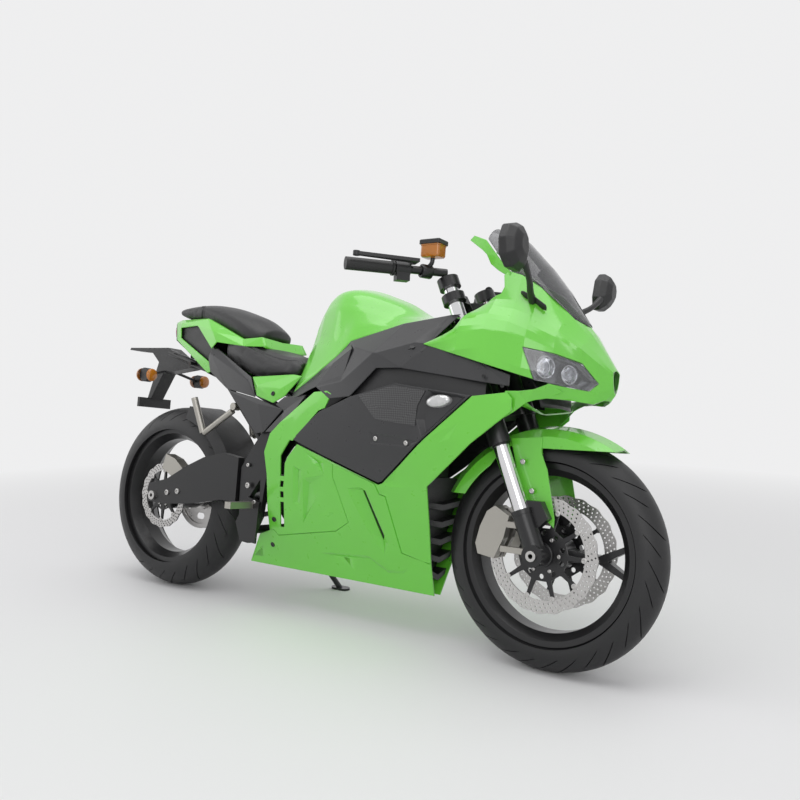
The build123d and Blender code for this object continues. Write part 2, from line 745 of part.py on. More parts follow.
with BuildPart() as rear_caliper:
    with BuildSketch(side_plane(0, rear_tyre_radius, -66, 64)):
        with BuildLine():
            Polyline((84, -40), (134, -48), (142, 0), (134, 48), (84, 40), close=True)
        make_face()
    extrude(amount=arm_inner_y - 66 - 0.3)
    with BuildSketch(side_plane(0, rear_tyre_radius, moving_gap - rear_hub_half)):
        Circle(rear_disc_radius + moving_gap)
    extrude(amount=rear_disc_y + disc_thickness / 2 - rear_hub_half + 2 * moving_gap,
            mode=Mode.SUBTRACT)

with BuildPart() as subframe:
    rails = [(575, -subframe_y, 594), (330, -subframe_y, 700), (120, -66, 748), (-60, -60, 800)]
    for start, end in zip(rails, rails[1:]):
        add(rod(start, end, subframe_radius))
    add(rod((480, -subframe_y, 480), (230, -76, 720), 10))
    add(rod((330, -subframe_y, 705), (330, -subframe_y, 740 - stay_gap), 8))
    add(rod((225, -78, 722), (225, -78, 758), 8))
    add(rod((330, -subframe_y, 702), (330, -cover_inner + stay_gap, 702), 8))
    mirror(about=Plane.XZ)
    for sign in (-1, 1):
        add(rod((-50, sign * 60, 797), (-50, sign * (tail_bracket_half + stay_gap), 797), 9))
    add(rod((330, -subframe_y, 700), (330, subframe_y, 700), 9))

with BuildPart() as footrest_hangers:
    with BuildSketch(side_plane(0, 0, -hanger_y)):
        with BuildLine():
            Polyline((398, 262), (420, 212), (486, 205), (490, 330), (440, 344), close=True)
        make_face()
    extrude(amount=hanger_thickness)
    with BuildSketch(side_plane(0, 0, hanger_y + hanger_thickness)):
        with BuildLine():
            Polyline((398, 300), (440, 288), (486, 300), (490, 330), (440, 344), close=True)
        make_face()
    extrude(amount=hanger_thickness)

with BuildPart() as rider_footpegs:
    with Locations(side_plane(455, 320, -hanger_y - hanger_thickness)):
        Box(24, 20, 95, align=(Align.CENTER, Align.CENTER, Align.MIN))
    mirror(about=Plane.XZ)

with BuildPart() as passenger_footrests:
    add(rod((330, -subframe_y - 2, 619), (330, -118, 619), 12))
    add(rod((325, -111.5, 605), (205, -114, 528), 10))
    add(rod((200, -114, 528), (160, -128, 640), 11))
    mirror(about=Plane.XZ)

def section_loft(stations, crowned=False):
    """Body form through whole cross-sections, {x: closed outline as (y, z) points}.

    The top of a crowned form is an arc through its highest point and the two beside it.
    """
    with BuildPart() as form:
        for x, points in stations.items():
            with BuildSketch(section_plane(body_x(x))):
                with BuildLine():
                    if crowned:
                        top = len(points) // 2
                        Polyline(*points[top + 1:], *points[:top])
                        ThreePointArc(points[top - 1], points[top], points[top + 1])
                    else:
                        Polyline(*points, close=True)
                make_face()
        loft(ruled=True)
    return form.part


def both_sides(half):
    """Closed outline from one side's points, listed from the lowest centre point upwards."""
    return list(half) + [(-y, z) for y, z in reversed(half) if y > 0]


def inset(points, wall):
    """The closed outline moved inwards by wall, corner for corner."""
    moved = []
    count = len(points)
    for i in range(count):
        before = Vector(*points[i - 1])
        here = Vector(*points[i])
        after = Vector(*points[(i + 1) % count])
        arriving = (here - before).normalized()
        leaving = (after - here).normalized()
        normal_in = Vector(-arriving.Y, arriving.X)
        normal_out = Vector(-leaving.Y, leaving.X)
        bisector = (normal_in + normal_out).normalized()
        corner = here + bisector * (wall / bisector.dot(normal_in))
        moved.append((corner.X, corner.Y))
    return moved


def body_form(half_stations, depth=0, overrun=0, crowned=False):
    """Solid inside a mirrored body form, `depth` below its outer surface."""
    whole = {x: both_sides(half) for x, half in half_stations.items()}
    if depth:
        whole = {x: inset(points, depth) for x, points in whole.items()}
    if overrun:
        first, last = min(whole), max(whole)
        whole[first - overrun] = whole.pop(first)
        whole[last + overrun] = whole.pop(last)
    return section_loft(dict(sorted(whole.items())), crowned)


def skin(half_stations, wall, crowned=False):
    """Thin skin of a mirrored body form, open at both ends."""
    return body_form(half_stations, crowned=crowned) - body_form(half_stations, wall, 1, crowned)


# Flanks of the machine from the belly keel up to the tank, at stations along X, drawn for a
# body 428 wide.
drawn_flanks = {
    380: [(25, 140), (74, 240), (118, 360), (150, 480), (162, 600), (150, 700), (110, 770)],
    520: [(24, 139), (86, 252), (138, 370), (168, 490), (178, 600), (165, 700), (120, 780)],
    700: [(20, 138), (92, 280), (150, 410), (185, 520), (195, 620), (185, 720), (130, 800)],
    850: [(18, 137), (95, 290), (155, 420), (195, 520), (208, 640), (200, 770), (140, 830)],
    1000: [(17, 136), (95, 300), (160, 430), (200, 540), (214, 660), (205, 790), (125, 860)],
    1150: [(17, 136), (95, 300), (160, 430), (195, 550), (208, 670), (192, 790), (125, 880)],
    1350: [(17, 136), (90, 300), (150, 430), (175, 560), (180, 670), (150, 740), (110, 880)],
}
flank_stations = {x: [(y * body_width / 428, z) for y, z in half]
                  for x, half in drawn_flanks.items()}
flank_skin = skin(flank_stations, panel_wall)


keel_half_gap = 3


def skin_panel(skin, outline):
    """Left and right panels cut from a skin by a side-view outline, clear of the centre."""
    panel = skin & side_outline(outline, 400)
    return panel - box_between((-2000, -keel_half_gap, -500), (3000, keel_half_gap, 3000))


def pressed(half_stations, outline, depth):
    """Shallow recess of a side-view outline, to take `depth` off the outside of a skin."""
    shell = body_form(half_stations, -1) - body_form(half_stations, depth)
    return shell & side_outline(outline, 400)


signal_centre = (1145, 650)
signal_length = 70
signal_height = 34
signal_seat = 172 * body_width / 428

fairing_outline = [
    (376, 130), (1066, 130), (1074, 224), (1092, 330), (1108, 434), (1242, 554), (1345, 638),
    (1345, 668), (1330, 684), (1243, 671), (1090, 537), (1021, 476), (965, 430), (950, 425),
    (648, 524), (754, 616), (778, 624), (798, 664), (780, 672), (729, 668), (598, 576),
    (555, 542), (530, 486), (532, 422), (511, 314), (499, 246), (449, 229),
]
vent_slot = [(884, 402), (898, 402), (932, 282), (918, 270)]
vent_dish = [(842, 404), (882, 410), (905, 402), (938, 262), (920, 232), (880, 300), (844, 388)]
channel = [(640, 529), (672, 519), (626, 478), (611, 458), (564, 262), (548, 262), (597, 480)]
front_pocket = [(680, 418), (754, 434), (772, 415), (718, 372), (645, 286)]
rear_pocket = [(647, 452), (728, 463), (672, 441), (641, 343), (624, 341)]
belly_crease = [(711, 199), (863, 210), (921, 178), (974, 180), (921, 169), (863, 200)]

with BuildPart() as lower_fairings:
    add(skin_panel(flank_skin, fairing_outline))
    add(side_outline(vent_slot, 300), mode=Mode.SUBTRACT)
    for low, high in ((262, 340), (354, 372), (386, 404), (418, 540)):
        gap = side_outline(channel, 300) & box_between((500, -300, low), (700, 300, high))
        add(gap, mode=Mode.SUBTRACT)
    for dish in (vent_dish, front_pocket, rear_pocket, belly_crease):
        add(pressed(flank_stations, dish, panel_wall / 2), mode=Mode.SUBTRACT)

with BuildPart() as belly_louvre:
    for height in range(5):
        low = 186 + 48 * height
        half = 17 + 0.479 * (low - 140) - 3.6
        with BuildSketch(section_plane(body_x(1030))):
            with BuildLine():
                Polyline((-half, low), (0, low - 14), (half, low), (half + 6, low + 16),
                         (0, low + 2), (-half - 6, low + 16), close=True)
            make_face()
        extrude(amount=34)
    with BuildSketch(section_plane(body_x(1024))):
        with BuildLine():
            Polyline((-24.4, 168), (0, 160), (24.4, 168), (122.4, 372), (148.4, 430), (120, 452),
                     (-120, 452), (-148.4, 430), (-122.4, 372), close=True)
        make_face()
    extrude(amount=6)

with BuildPart() as side_panels_lower:
    add(skin_panel(flank_skin, [
        (655, 528), (950, 431), (963, 435), (1019, 481), (1088, 542), (1238, 672), (1020, 696),
        (1003, 692), (868, 656), (785, 622), (757, 611),
    ]))
    with BuildSketch(side_plane(body_x(signal_centre[0]), signal_centre[1], 300)):
        SlotOverall(signal_length + 0.6, signal_height + 0.6)
    extrude(amount=600, mode=Mode.SUBTRACT)

with BuildPart() as front_turn_signals:
    with BuildSketch(side_plane(body_x(signal_centre[0]), signal_centre[1], -signal_seat)):
        SlotOverall(signal_length, signal_height)
    extrude(amount=45)
    mirror(about=Plane.XZ)

with BuildPart() as side_panels_upper:
    add(skin_panel(flank_skin, [
        (845, 665), (1012, 716), (1300, 692), (1330, 700), (1332, 728), (1080, 800), (1078, 806),
        (1110, 824), (1110, 856), (850, 812), (808, 697), (808, 652),
    ]))

# Round stays that carry the fairing panels from the frame plates and the battery case.
with BuildPart() as fairing_stays:
    for x, z, start in ((760, 345, case_half), (960, 345, case_half), (880, 550, case_half),
                        (1000, 600, case_half), (470, 300, plate_outer), (600, 545, case_half),
                        (720, 612, case_half), (900, 745, plate_outer), (1050, 800, plate_outer)):
        for sign in (-1, 1):
            add(rod(body_point(x, sign * (start + stay_gap), z), body_point(x, sign * 300, z), 9))
    add(body_form(flank_stations, panel_wall + stay_gap), mode=Mode.INTERSECT)

# Tank cover: a high shoulder behind, a crowned top and flanks that draw in towards the knees.
tank_stations = {
    530: [(0, 700), (96, 705), (104, 730), (86, 830), (0, 850)],
    600: [(0, 700), (118, 705), (130, 745), (115, 920), (0, 975)],
    800: [(0, 700), (120, 715), (138, 790), (125, 930), (0, 985)],
    1040: [(0, 780), (90, 800), (105, 850), (80, 890), (0, 920)],
}

with BuildPart() as tank_stays:
    for x in (620, 760):
        top = 643.6 + (x - 540) * 140 / 340
        for sign in (-1, 1):
            add(rod((x, sign * 112, top + stay_gap), (x, sign * 112, top + 300), 8))
    add(body_form(tank_stations, panel_wall + stay_gap), mode=Mode.INTERSECT)

with BuildPart() as tank_cover:
    add(skin(tank_stations, panel_wall))
    add(side_outline([(400, 650), (545, 650), (545, 740), (800, 800), (1100, 860), (1100, 650)],
                     200), mode=Mode.SUBTRACT)

with BuildPart() as rider_seat:
    with BuildSketch(side_plane(0, 0)):
        with BuildLine():
            Polyline((128, 800), (136, 842), (250, 838), (400, 800), (510, 782), (515, 750),
                     (330, 740), (200, 765), close=True)
        make_face()
    extrude(amount=110, both=True)
    fillet(rider_seat.edges().filter_by(Axis.Y), 8)

with BuildPart() as pillion_seat:
    with BuildSketch(side_plane(0, 0)):
        with BuildLine():
            Polyline((-80, 940), (-70, 962), (100, 968), (230, 945), (318, 895), (290, 852),
                     (150, 900), (-70, 935), close=True)
        make_face()
    extrude(amount=90, both=True)
    fillet(pillion_seat.edges().filter_by(Axis.Y), 6)

tail_stations = {
    -145: [(0, 860), (60, 865), (75, 900), (60, 930), (0, 932)],
    -40: [(0, 790), (85, 800), (112, 860), (100, 915), (0, 930)],
    120: [(0, 720), (105, 730), (122, 800), (116, 880), (0, 900)],
    340: [(0, 720), (108, 730), (124, 780), (120, 800), (0, 820)],
}

with BuildPart() as tail_fairing:
    add(skin(tail_stations, panel_wall))
    add(side_outline([(-30, 600), (-90, 838), (125, 810), (125, 900), (150, 893), (280, 848),
                      (345, 830), (345, 600)], 80), mode=Mode.SUBTRACT)
    add(side_outline([(118, 600), (118, 842), (130, 851), (350, 848), (350, 600)], 200),
        mode=Mode.SUBTRACT)

with BuildPart() as tail_stays:
    for x, y, z in ((-20, 62, 790), (90, 65, 758)):
        for sign in (-1, 1):
            add(rod((x, sign * (y + subframe_radius + 0.5), z), (x, sign * 300, z), 7))
    add(body_form(tail_stations, panel_wall + stay_gap), mode=Mode.INTERSECT)

with BuildPart() as seat_side_covers:
    with BuildSketch(side_plane(0, 0, -cover_inner)):
        with BuildLine():
            Polyline((120, 740), (128, 790), (340, 735), (515, 745), (560, 700), (440, 650),
                     (350, 640), (250, 690), close=True)
        make_face()
    extrude(amount=16)
    mirror(about=Plane.XZ)

with BuildPart() as tail_bracket:
    with BuildSketch(side_plane(0, 0)):
        with BuildLine():
            Polyline((-330, 815), (-325, 823), (-190, 822), (-112, 822), (-45, 784),
                     (20, 760), (10, 750), (-130, 730), (-188, 636), (-205, 636), (-160, 770),
                     (-200, 805), close=True)
        make_face()
    extrude(amount=tail_bracket_half, both=True)
    with Locations(Plane(origin=(-200, 0, 622))):
        Box(12, 140, 34)

with BuildPart() as rear_turn_signals:
    for sign in (-1, 1):
        with Locations(side_plane(-102, 714, sign * 120)):
            Cylinder(24, 26)
        add(rod((-110, sign * 107, 716), (-120, sign * (tail_bracket_half + 1.4), 735), 5))

# Nose cowl: each half outline runs from the lowest centre point past the edge of the lower
# band, the headlight, three creases and the screen's edge to the highest centre point.
cowl_stations = {
    1085: [(0, 740), (120, 745), (172, 760), (192, 798), (190, 803), (184, 808), (172, 815),
           (120, 835), (0, 842)],
    1180: [(0, 720), (120, 725), (176, 740), (191, 786), (178, 850), (166, 870), (150, 886),
           (112, 905), (0, 912)],
    1250: [(0, 640), (130, 650), (180, 690), (187, 762), (177, 842), (155, 885), (120, 928),
           (102, 1010), (0, 1030)],
    1310: [(0, 640), (140, 650), (176, 690), (180, 742), (172, 834), (160, 862), (134, 898),
           (98, 991), (0, 1015)],
    1361: [(0, 640), (150, 658), (166, 687), (176, 745), (163, 822), (155, 842), (131, 880),
           (88, 958), (0, 985)],
    1425: [(0, 640), (106, 672), (135, 710), (142, 760), (133, 799), (128, 826), (112, 845),
           (56, 897), (0, 915)],
    1478: [(0, 645), (62, 666), (72, 702), (92, 738), (92, 770), (98, 802), (76, 814),
           (24, 846), (0, 850)],
    1511: [(0, 662), (26, 668), (44, 700), (50, 718), (54, 736), (66, 772), (46, 784),
           (12, 798), (0, 800)],
    1537: [(0, 696), (8, 704), (16, 716), (20, 728), (22, 740), (24, 752), (14, 757), (6, 759),
           (0, 760)],
}
cowl_skin = skin(cowl_stations, panel_wall)
screen_line = [(1275, 1010), (1344, 973), (1396, 927), (1439, 882), (1462, 868)]

headlight_outline = [(1359, 796), (1428, 784), (1481, 766), (1511, 721), (1492, 702), (1443, 708),
                     (1416, 713), (1388, 718), (1379, 749)]

with BuildPart() as screen_strips:
    strip_start = body_point(1136, -73, 0)
    strip_run = Vector(146, -29, 0).normalized()
    strip_plane = Plane(origin=strip_start, x_dir=strip_run,
                        z_dir=strip_run.cross(Vector(0, 0, 1)))
    with BuildSketch(strip_plane):
        with BuildLine():
            Polyline((0, 1101), (46, 1069), (62, 1055), (78, 1028), (105, 1008), (146, 985),
                     (146, 1000), (138, 1007), (115, 1028), (54, 1096), (14, 1112), close=True)
        make_face()
    extrude(amount=2, both=True)
    mirror(about=Plane.XZ)

with BuildPart() as upper_cowl:
    add(cowl_skin & side_outline([
        (1083, 803), (1389, 719), (1419, 711), (1389, 693), (1356, 687), (1349, 685), (1349, 642),
        (1370, 665), (1387, 672), (1406, 676), (1448, 676), (1497, 671), (1518, 682), (1600, 682),
        (1600, 868), *reversed(screen_line), (1262, 992), (1269, 960), (1263, 942), (1237, 932),
        (1189, 890), (1177, 872), (1160, 844),
    ], 300))
    add(screen_strips.part)
    with BuildSketch(side_plane(0, 0)):
        with BuildLine():
            Polyline(*on_body(*headlight_outline), close=True)
        make_face()
        offset(amount=1)
    extrude(amount=300, both=True, mode=Mode.SUBTRACT)

with BuildPart() as headlights:
    lens = cowl_skin & side_outline(headlight_outline, 300)
    add(lens - box_between((1000, -40, 600), (3000, 40, 900)))

with BuildPart() as headlight_unit:
    add(body_form(cowl_stations, panel_wall + stay_gap))
    add(side_outline(headlight_outline, 300), mode=Mode.INTERSECT)
    add(body_form({x: cowl_stations[x] for x in (1361, 1425, 1478)}, 34), mode=Mode.SUBTRACT)

with BuildPart() as fairing_bracket:
    add(side_outline([(1110, 850), (1110, 800), (1340, 760), (1340, 800), (1392, 890), (1392, 912),
                      (1350, 900), (1300, 830)], 20))
    add(rod(body_point(1330, -110, 780), body_point(1330, 110, 780), 9))
    add(rod(body_point(1386, -165, 905), body_point(1386, 165, 905), 9))
    add(rod(body_point(1262, 0, 820), body_point(1250.6, 0, 874), 12))
    with Locations(fork_plane(0)):
        Cylinder(31 + stay_gap, 3000, mode=Mode.SUBTRACT)
    add(box_between((1000, -60, 700), (body_x(1145) + stay_gap, 60, 830 + stay_gap)),
        mode=Mode.SUBTRACT)
    add(body_form(cowl_stations, panel_wall + stay_gap), mode=Mode.INTERSECT)
    add(side_outline([(1340, 700), (1600, 700), (1600, 801), (1340, 801)], 300), mode=Mode.SUBTRACT)

with BuildPart() as instrument_panel:
    with BuildSketch(Plane(origin=body_point(1262, 0, 878), x_dir=(0, 1, 0),
                           z_dir=(-0.6, 0, 0.8))):
        RectangleRounded(150, 84, 12)
    extrude(amount=22)
    add(rod(body_point(1262, 0, 820), body_point(1249.9, 0, 879), 12 + stay_gap),
        mode=Mode.SUBTRACT)

# Curved screen, {x: half width, height of its edge, height of its crown}.
screen_stations = {
    1190: (72, 1100, 1140), 1250: (92, 1030, 1118), 1275: (101, 1010.6, 1098),
    1344: (94, 973.6, 1027), 1396: (76, 927.6, 964), 1439: (46, 882.6, 902),
    1461: (14, 869.2, 874),
}
screen_thickness = 3.5

with BuildPart() as windscreen:
    for x, (half, edge, crown) in screen_stations.items():
        with BuildSketch(section_plane(body_x(x))):
            with BuildLine():
                ThreePointArc((-half, edge + screen_thickness), (0, crown + screen_thickness),
                              (half, edge + screen_thickness))
                Line((half, edge + screen_thickness), (half, edge))
                ThreePointArc((half, edge), (0, crown), (-half, edge))
                Line((-half, edge), (-half, edge + screen_thickness))
            make_face()
    loft(ruled=True)

mirror_base = body_point(1352, -107, 912)
mirror_neck = body_point(1385, -226, 972)

with BuildPart() as mirrors:
    with BuildSketch(Plane(origin=(1386, -108, 904), x_dir=(1, 0, 0), z_dir=(0, -1, 0.35))):
        SlotOverall(78, 30)
    extrude(amount=66)
    add(body_form(cowl_stations, -stay_gap), mode=Mode.SUBTRACT)
    add(rod((1386, -170, 922), (1384, -246, 968), 7))
    with BuildSketch(side_plane(1390, 1012, -240)):
        with BuildLine():
            Polyline((-38, 61), (32, 56), (44, -22), (8, -58), (-40, -40), close=True)
        make_face()
    extrude(amount=70, taper=8)
    mirror(about=Plane.XZ)


# ---- side stand ----------------------------------------------------------------------

with BuildPart() as side_stand:
    with Locations(stand_plane):
        Cylinder(stand_eye, stand_thickness)
        Box(stand_eye + 14, 16, stand_thickness, align=(Align.MIN, Align.CENTER, Align.CENTER))
        with Locations(Location((stand_eye + 3, 0, 0), (0, 90, 0))):
            Cylinder(9, stand_down.length, align=(Align.CENTER, Align.CENTER, Align.MIN))
        Cylinder(stand_pin_radius + running_fit, 60, mode=Mode.SUBTRACT)
    with BuildSketch(Plane(origin=floor.origin + floor.z_dir * 0, x_dir=floor.x_dir,
                           z_dir=floor.z_dir)):
        with Locations((foot_x, foot_y / cos(radians(lean)))):
            SlotOverall(70, 34)
    extrude(amount=7)
    split(bisect_by=floor, keep=Keep.TOP)

# ---- export --------------------------------------------------------------------------

pieces = {
    "front_tyre": front_tyre, "front_rim": front_rim, "front_brake_discs": front_brake_discs,
    "rear_tyre": rear_tyre, "rear_rim": rear_rim, "rear_brake_disc": rear_brake_disc,
    "rear_sprocket": rear_sprocket, "chain": chain, "front_axle": front_axle,
    "fork_tubes": fork_tubes, "fork_lowers": fork_lowers, "lower_clamp": lower_clamp,
    "upper_clamp": upper_clamp, "handlebars": handlebars, "grips": grips,
    "hand_controls": hand_controls, "brake_reservoir": brake_reservoir,
    "front_calipers": front_calipers, "front_fender": front_fender, "main_frame": main_frame,
    "swingarm": swingarm, "rear_axle": rear_axle, "motor": motor,
    "battery_case": battery_case, "rear_shock": rear_shock, "rear_hugger": rear_hugger,
    "rear_caliper": rear_caliper, "subframe": subframe, "footrest_hangers": footrest_hangers,
    "rider_footpegs": rider_footpegs, "passenger_footrests": passenger_footrests,
    "lower_fairings": lower_fairings, "side_panels_lower": side_panels_lower,
    "side_panels_upper": side_panels_upper, "tank_cover": tank_cover,
    "rider_seat": rider_seat, "pillion_seat": pillion_seat, "tail_fairing": tail_fairing,
    "seat_side_covers": seat_side_covers, "tail_bracket": tail_bracket,
    "rear_turn_signals": rear_turn_signals, "upper_cowl": upper_cowl,
    "windscreen": windscreen, "headlights": headlights, "headlight_unit": headlight_unit,
    "fairing_bracket": fairing_bracket, "instrument_panel": instrument_panel,
    "fairing_stays": fairing_stays, "tank_stays": tank_stays, "tail_stays": tail_stays,
    "front_turn_signals": front_turn_signals, "mirrors": mirrors, "side_stand": side_stand,
    "belly_louvre": belly_louvre, "reservoir_cap": reservoir_cap,
}
box = Compound([leaned * piece.part for piece in pieces.values()]).bounding_box()
parked = Pos(-box.center().X, -box.center().Y, 0) * leaned

os.makedirs("parts", exist_ok=True)
for name, piece in pieces.items():
    piece.part.label = name
    export_step(parked * piece.part, f"parts/{name}.step")
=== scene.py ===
import bpy
import bmesh
import json
from math import cos, pi, radians, sin
from mathutils import Matrix, Vector
from mathutils.geometry import delaunay_2d_cdt


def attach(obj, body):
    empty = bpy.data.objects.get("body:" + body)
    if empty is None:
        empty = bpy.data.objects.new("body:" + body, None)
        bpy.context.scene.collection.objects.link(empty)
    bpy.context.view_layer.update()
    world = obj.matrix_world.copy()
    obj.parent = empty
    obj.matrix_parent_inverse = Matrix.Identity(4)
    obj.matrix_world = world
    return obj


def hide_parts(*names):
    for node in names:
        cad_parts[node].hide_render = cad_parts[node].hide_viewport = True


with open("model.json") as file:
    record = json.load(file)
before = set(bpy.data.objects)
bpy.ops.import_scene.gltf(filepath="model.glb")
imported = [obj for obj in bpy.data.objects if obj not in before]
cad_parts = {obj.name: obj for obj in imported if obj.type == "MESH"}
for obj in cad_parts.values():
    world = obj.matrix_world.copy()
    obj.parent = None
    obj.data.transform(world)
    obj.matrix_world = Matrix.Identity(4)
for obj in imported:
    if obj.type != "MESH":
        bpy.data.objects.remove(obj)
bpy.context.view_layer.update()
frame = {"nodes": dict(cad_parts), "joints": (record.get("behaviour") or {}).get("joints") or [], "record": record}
nodes = frame["nodes"]

# ---- the machine's own axes ----------------------------------------------------------
# Pieces are drawn in metres on the upright machine: +X forward, +Y to the rider's left, +Z up,
# from the ground under the rear axle. `machine` puts them on the leaning machine.

WHEELBASE = 1.400
FRONT_RADIUS = 0.293
REAR_RADIUS = 0.306

joints = {joint["name"]: joint for joint in frame["joints"]}
front_axle = Vector(joints["front_wheel_spin"]["pos_m"])
rear_axle = Vector(joints["rear_wheel_spin"]["pos_m"])
side = Vector(joints["rear_wheel_spin"]["axis"]).normalized()
drop = REAR_RADIUS - FRONT_RADIUS
along = front_axle - rear_axle
across = along.cross(side)
span = WHEELBASE ** 2 + drop ** 2
forward = ((along * WHEELBASE + across * drop) / span).normalized()
upward = ((across * WHEELBASE - along * drop) / span).normalized()
origin = rear_axle - upward * REAR_RADIUS
machine = Matrix((forward, side, upward)).transposed().to_4x4()
machine.translation = origin

# ---- materials -----------------------------------------------------------------------


def new_material(name):
    material = bpy.data.materials.new(name)
    material.use_nodes = True
    tree = material.node_tree
    shader = tree.nodes["Principled BSDF"]
    return material, tree, shader


def add_node(tree, kind, **values):
    node = tree.nodes.new(kind)
    for key, value in values.items():
        if key in node.inputs:
            node.inputs[key].default_value = value
        else:
            setattr(node, key, value)
    return node


def noise(tree, scale, detail=3.0, coords=None):
    if coords is None:
        coords = tree.nodes.new("ShaderNodeTexCoord").outputs["Object"]
    texture = add_node(tree, "ShaderNodeTexNoise", Scale=scale, Detail=detail)
    tree.links.new(coords, texture.inputs["Vector"])
    return texture.outputs["Fac"]


def ramp(tree, value, low, high, out_low, out_high):
    node = tree.nodes.new("ShaderNodeMapRange")
    for name, number in (("From Min", low), ("From Max", high), ("To Min", out_low),
                         ("To Max", out_high)):
        node.inputs[name].default_value = number
    tree.links.new(value, node.inputs["Value"])
    return node.outputs["Result"]


def mix_colour(tree, factor, first, second):
    node = add_node(tree, "ShaderNodeMix", data_type="RGBA")
    node.inputs["A"].default_value = (*first, 1)
    node.inputs["B"].default_value = (*second, 1)
    tree.links.new(factor, node.inputs["Factor"])
    return node.outputs["Result"]


def tinted(colour, factor):
    return tuple(min(1.0, channel * factor) for channel in colour)


def surface(name, colour, roughness, metallic=0.0, grain=900, grain_depth=0.05, mottle=0.06,
            mottle_scale=6, rough_spread=0.06, coat=0.0, coat_roughness=0.04, bevel=0.0012,
            specular=0.5):
    """Plain finish with grain in its bump, slow colour drift and uneven gloss."""
    material, tree, shader = new_material(name)
    drift = noise(tree, mottle_scale)
    colour_out = mix_colour(tree, drift, tinted(colour, 1 - mottle), tinted(colour, 1 + mottle))
    tree.links.new(colour_out, shader.inputs["Base Color"])
    smudge = noise(tree, mottle_scale * 7, 5)
    tree.links.new(ramp(tree, smudge, 0.3, 0.7, roughness - rough_spread / 2,
                        roughness + rough_spread / 2), shader.inputs["Roughness"])
    shader.inputs["Metallic"].default_value = metallic
    shader.inputs["Coat Weight"].default_value = coat
    shader.inputs["Coat Roughness"].default_value = coat_roughness
    shader.inputs["Specular IOR Level"].default_value = specular
    bump = add_node(tree, "ShaderNodeBump", Strength=grain_depth, Distance=0.001)
    tree.links.new(noise(tree, grain, 2), bump.inputs["Height"])
    if bevel:
        rounded = add_node(tree, "ShaderNodeBevel", Radius=bevel, samples=4)
        tree.links.new(rounded.outputs["Normal"], bump.inputs["Normal"])
    tree.links.new(bump.outputs["Normal"], shader.inputs["Normal"])
    return material


GREEN = (0.150, 0.620, 0.045)
green_paint = surface("green_paint", GREEN, 0.30, grain=300, grain_depth=0.02, mottle=0.03,
                      coat=0.8, coat_roughness=0.06, bevel=0.003)
graphite_panel = surface("graphite_panel", (0.036, 0.036, 0.038), 0.30, grain=900,
                         grain_depth=0.06, mottle=0.08, bevel=0.003)
black_plastic = surface("black_plastic", (0.014, 0.014, 0.015), 0.42, grain=1400,
                        grain_depth=0.25, mottle=0.2)
black_metal = surface("black_metal", (0.016, 0.016, 0.017), 0.33, metallic=0.3, grain=700,
                      grain_depth=0.1, mottle=0.15, coat=0.2, coat_roughness=0.2)
chrome = surface("chrome", (0.72, 0.72, 0.73), 0.10, metallic=1.0, grain=500, grain_depth=0.01)
steel = surface("steel", (0.52, 0.51, 0.50), 0.30, metallic=1.0, grain=1500, grain_depth=0.12)
cast_silver = surface("cast_silver", (0.40, 0.385, 0.35), 0.36, metallic=0.85, grain=1100,
                      grain_depth=0.3, mottle=0.1)
tyre_rubber = surface("tyre_rubber", (0.013, 0.013, 0.014), 0.48, grain=600, grain_depth=0.2,
                      mottle=0.2, bevel=0)
rubber = surface("rubber", (0.016, 0.016, 0.016), 0.5, grain=900, grain_depth=0.2)
seat_vinyl = surface("seat_vinyl", (0.022, 0.022, 0.023), 0.42, grain=500, grain_depth=0.5,
                     mottle=0.12, bevel=0)
amber_lens = surface("amber_lens", (0.50, 0.17, 0.015), 0.12, grain=200, grain_depth=0.2,
                     coat=0.5)


def glassy(name, colour, roughness, transmission, alpha=1.0):
    material, tree, shader = new_material(name)
    shader.inputs["Base Color"].default_value = (*colour, 1)
    smudge = noise(tree, 30, 4)
    tree.links.new(ramp(tree, smudge, 0.3, 0.7, roughness, roughness + 0.03),
                   shader.inputs["Roughness"])
    shader.inputs["Transmission Weight"].default_value = transmission
    shader.inputs["IOR"].default_value = 1.45
    shader.inputs["Alpha"].default_value = alpha
    return material


smoked_screen = glassy("smoked_screen", (0.25, 0.25, 0.26), 0.03, 0.85)
clear_lens = glassy("clear_lens", (0.92, 0.93, 0.95), 0.02, 0.95)

def woven(name, dark, light, size):
    """Twill carbon cloth under clear lacquer: two sets of strands, each shading its own way."""
    material, tree, shader = new_material(name)
    coords = tree.nodes.new("ShaderNodeTexCoord").outputs["Object"]
    checker = add_node(tree, "ShaderNodeTexChecker", Scale=1 / size)
    turned = add_node(tree, "ShaderNodeMapping", Rotation=(0, radians(45), 0))
    tree.links.new(coords, turned.inputs["Vector"])
    tree.links.new(turned.outputs["Vector"], checker.inputs["Vector"])
    tree.links.new(mix_colour(tree, checker.outputs["Fac"], dark, light),
                   shader.inputs["Base Color"])
    tree.links.new(ramp(tree, checker.outputs["Fac"], 0, 1, 0.34, 0.5),
                   shader.inputs["Roughness"])
    shader.inputs["Coat Weight"].default_value = 0.5
    return material


carbon_weave = woven("carbon_weave", (0.022, 0.022, 0.023), (0.06, 0.06, 0.062), 0.004)
signal_glass = surface("signal_glass", (0.62, 0.62, 0.62), 0.18, metallic=0.5, grain=110,
                       grain_depth=1.0, mottle=0.3, mottle_scale=60, coat=1.0)

headlight_grey = surface("headlight_grey", (0.16, 0.16, 0.17), 0.22, metallic=0.8, grain=90,
                         grain_depth=0.3, mottle=0.2, coat=0.3)

red_lens = surface("red_lens", (0.30, 0.008, 0.006), 0.14, grain=120, grain_depth=0.4, coat=1.0)

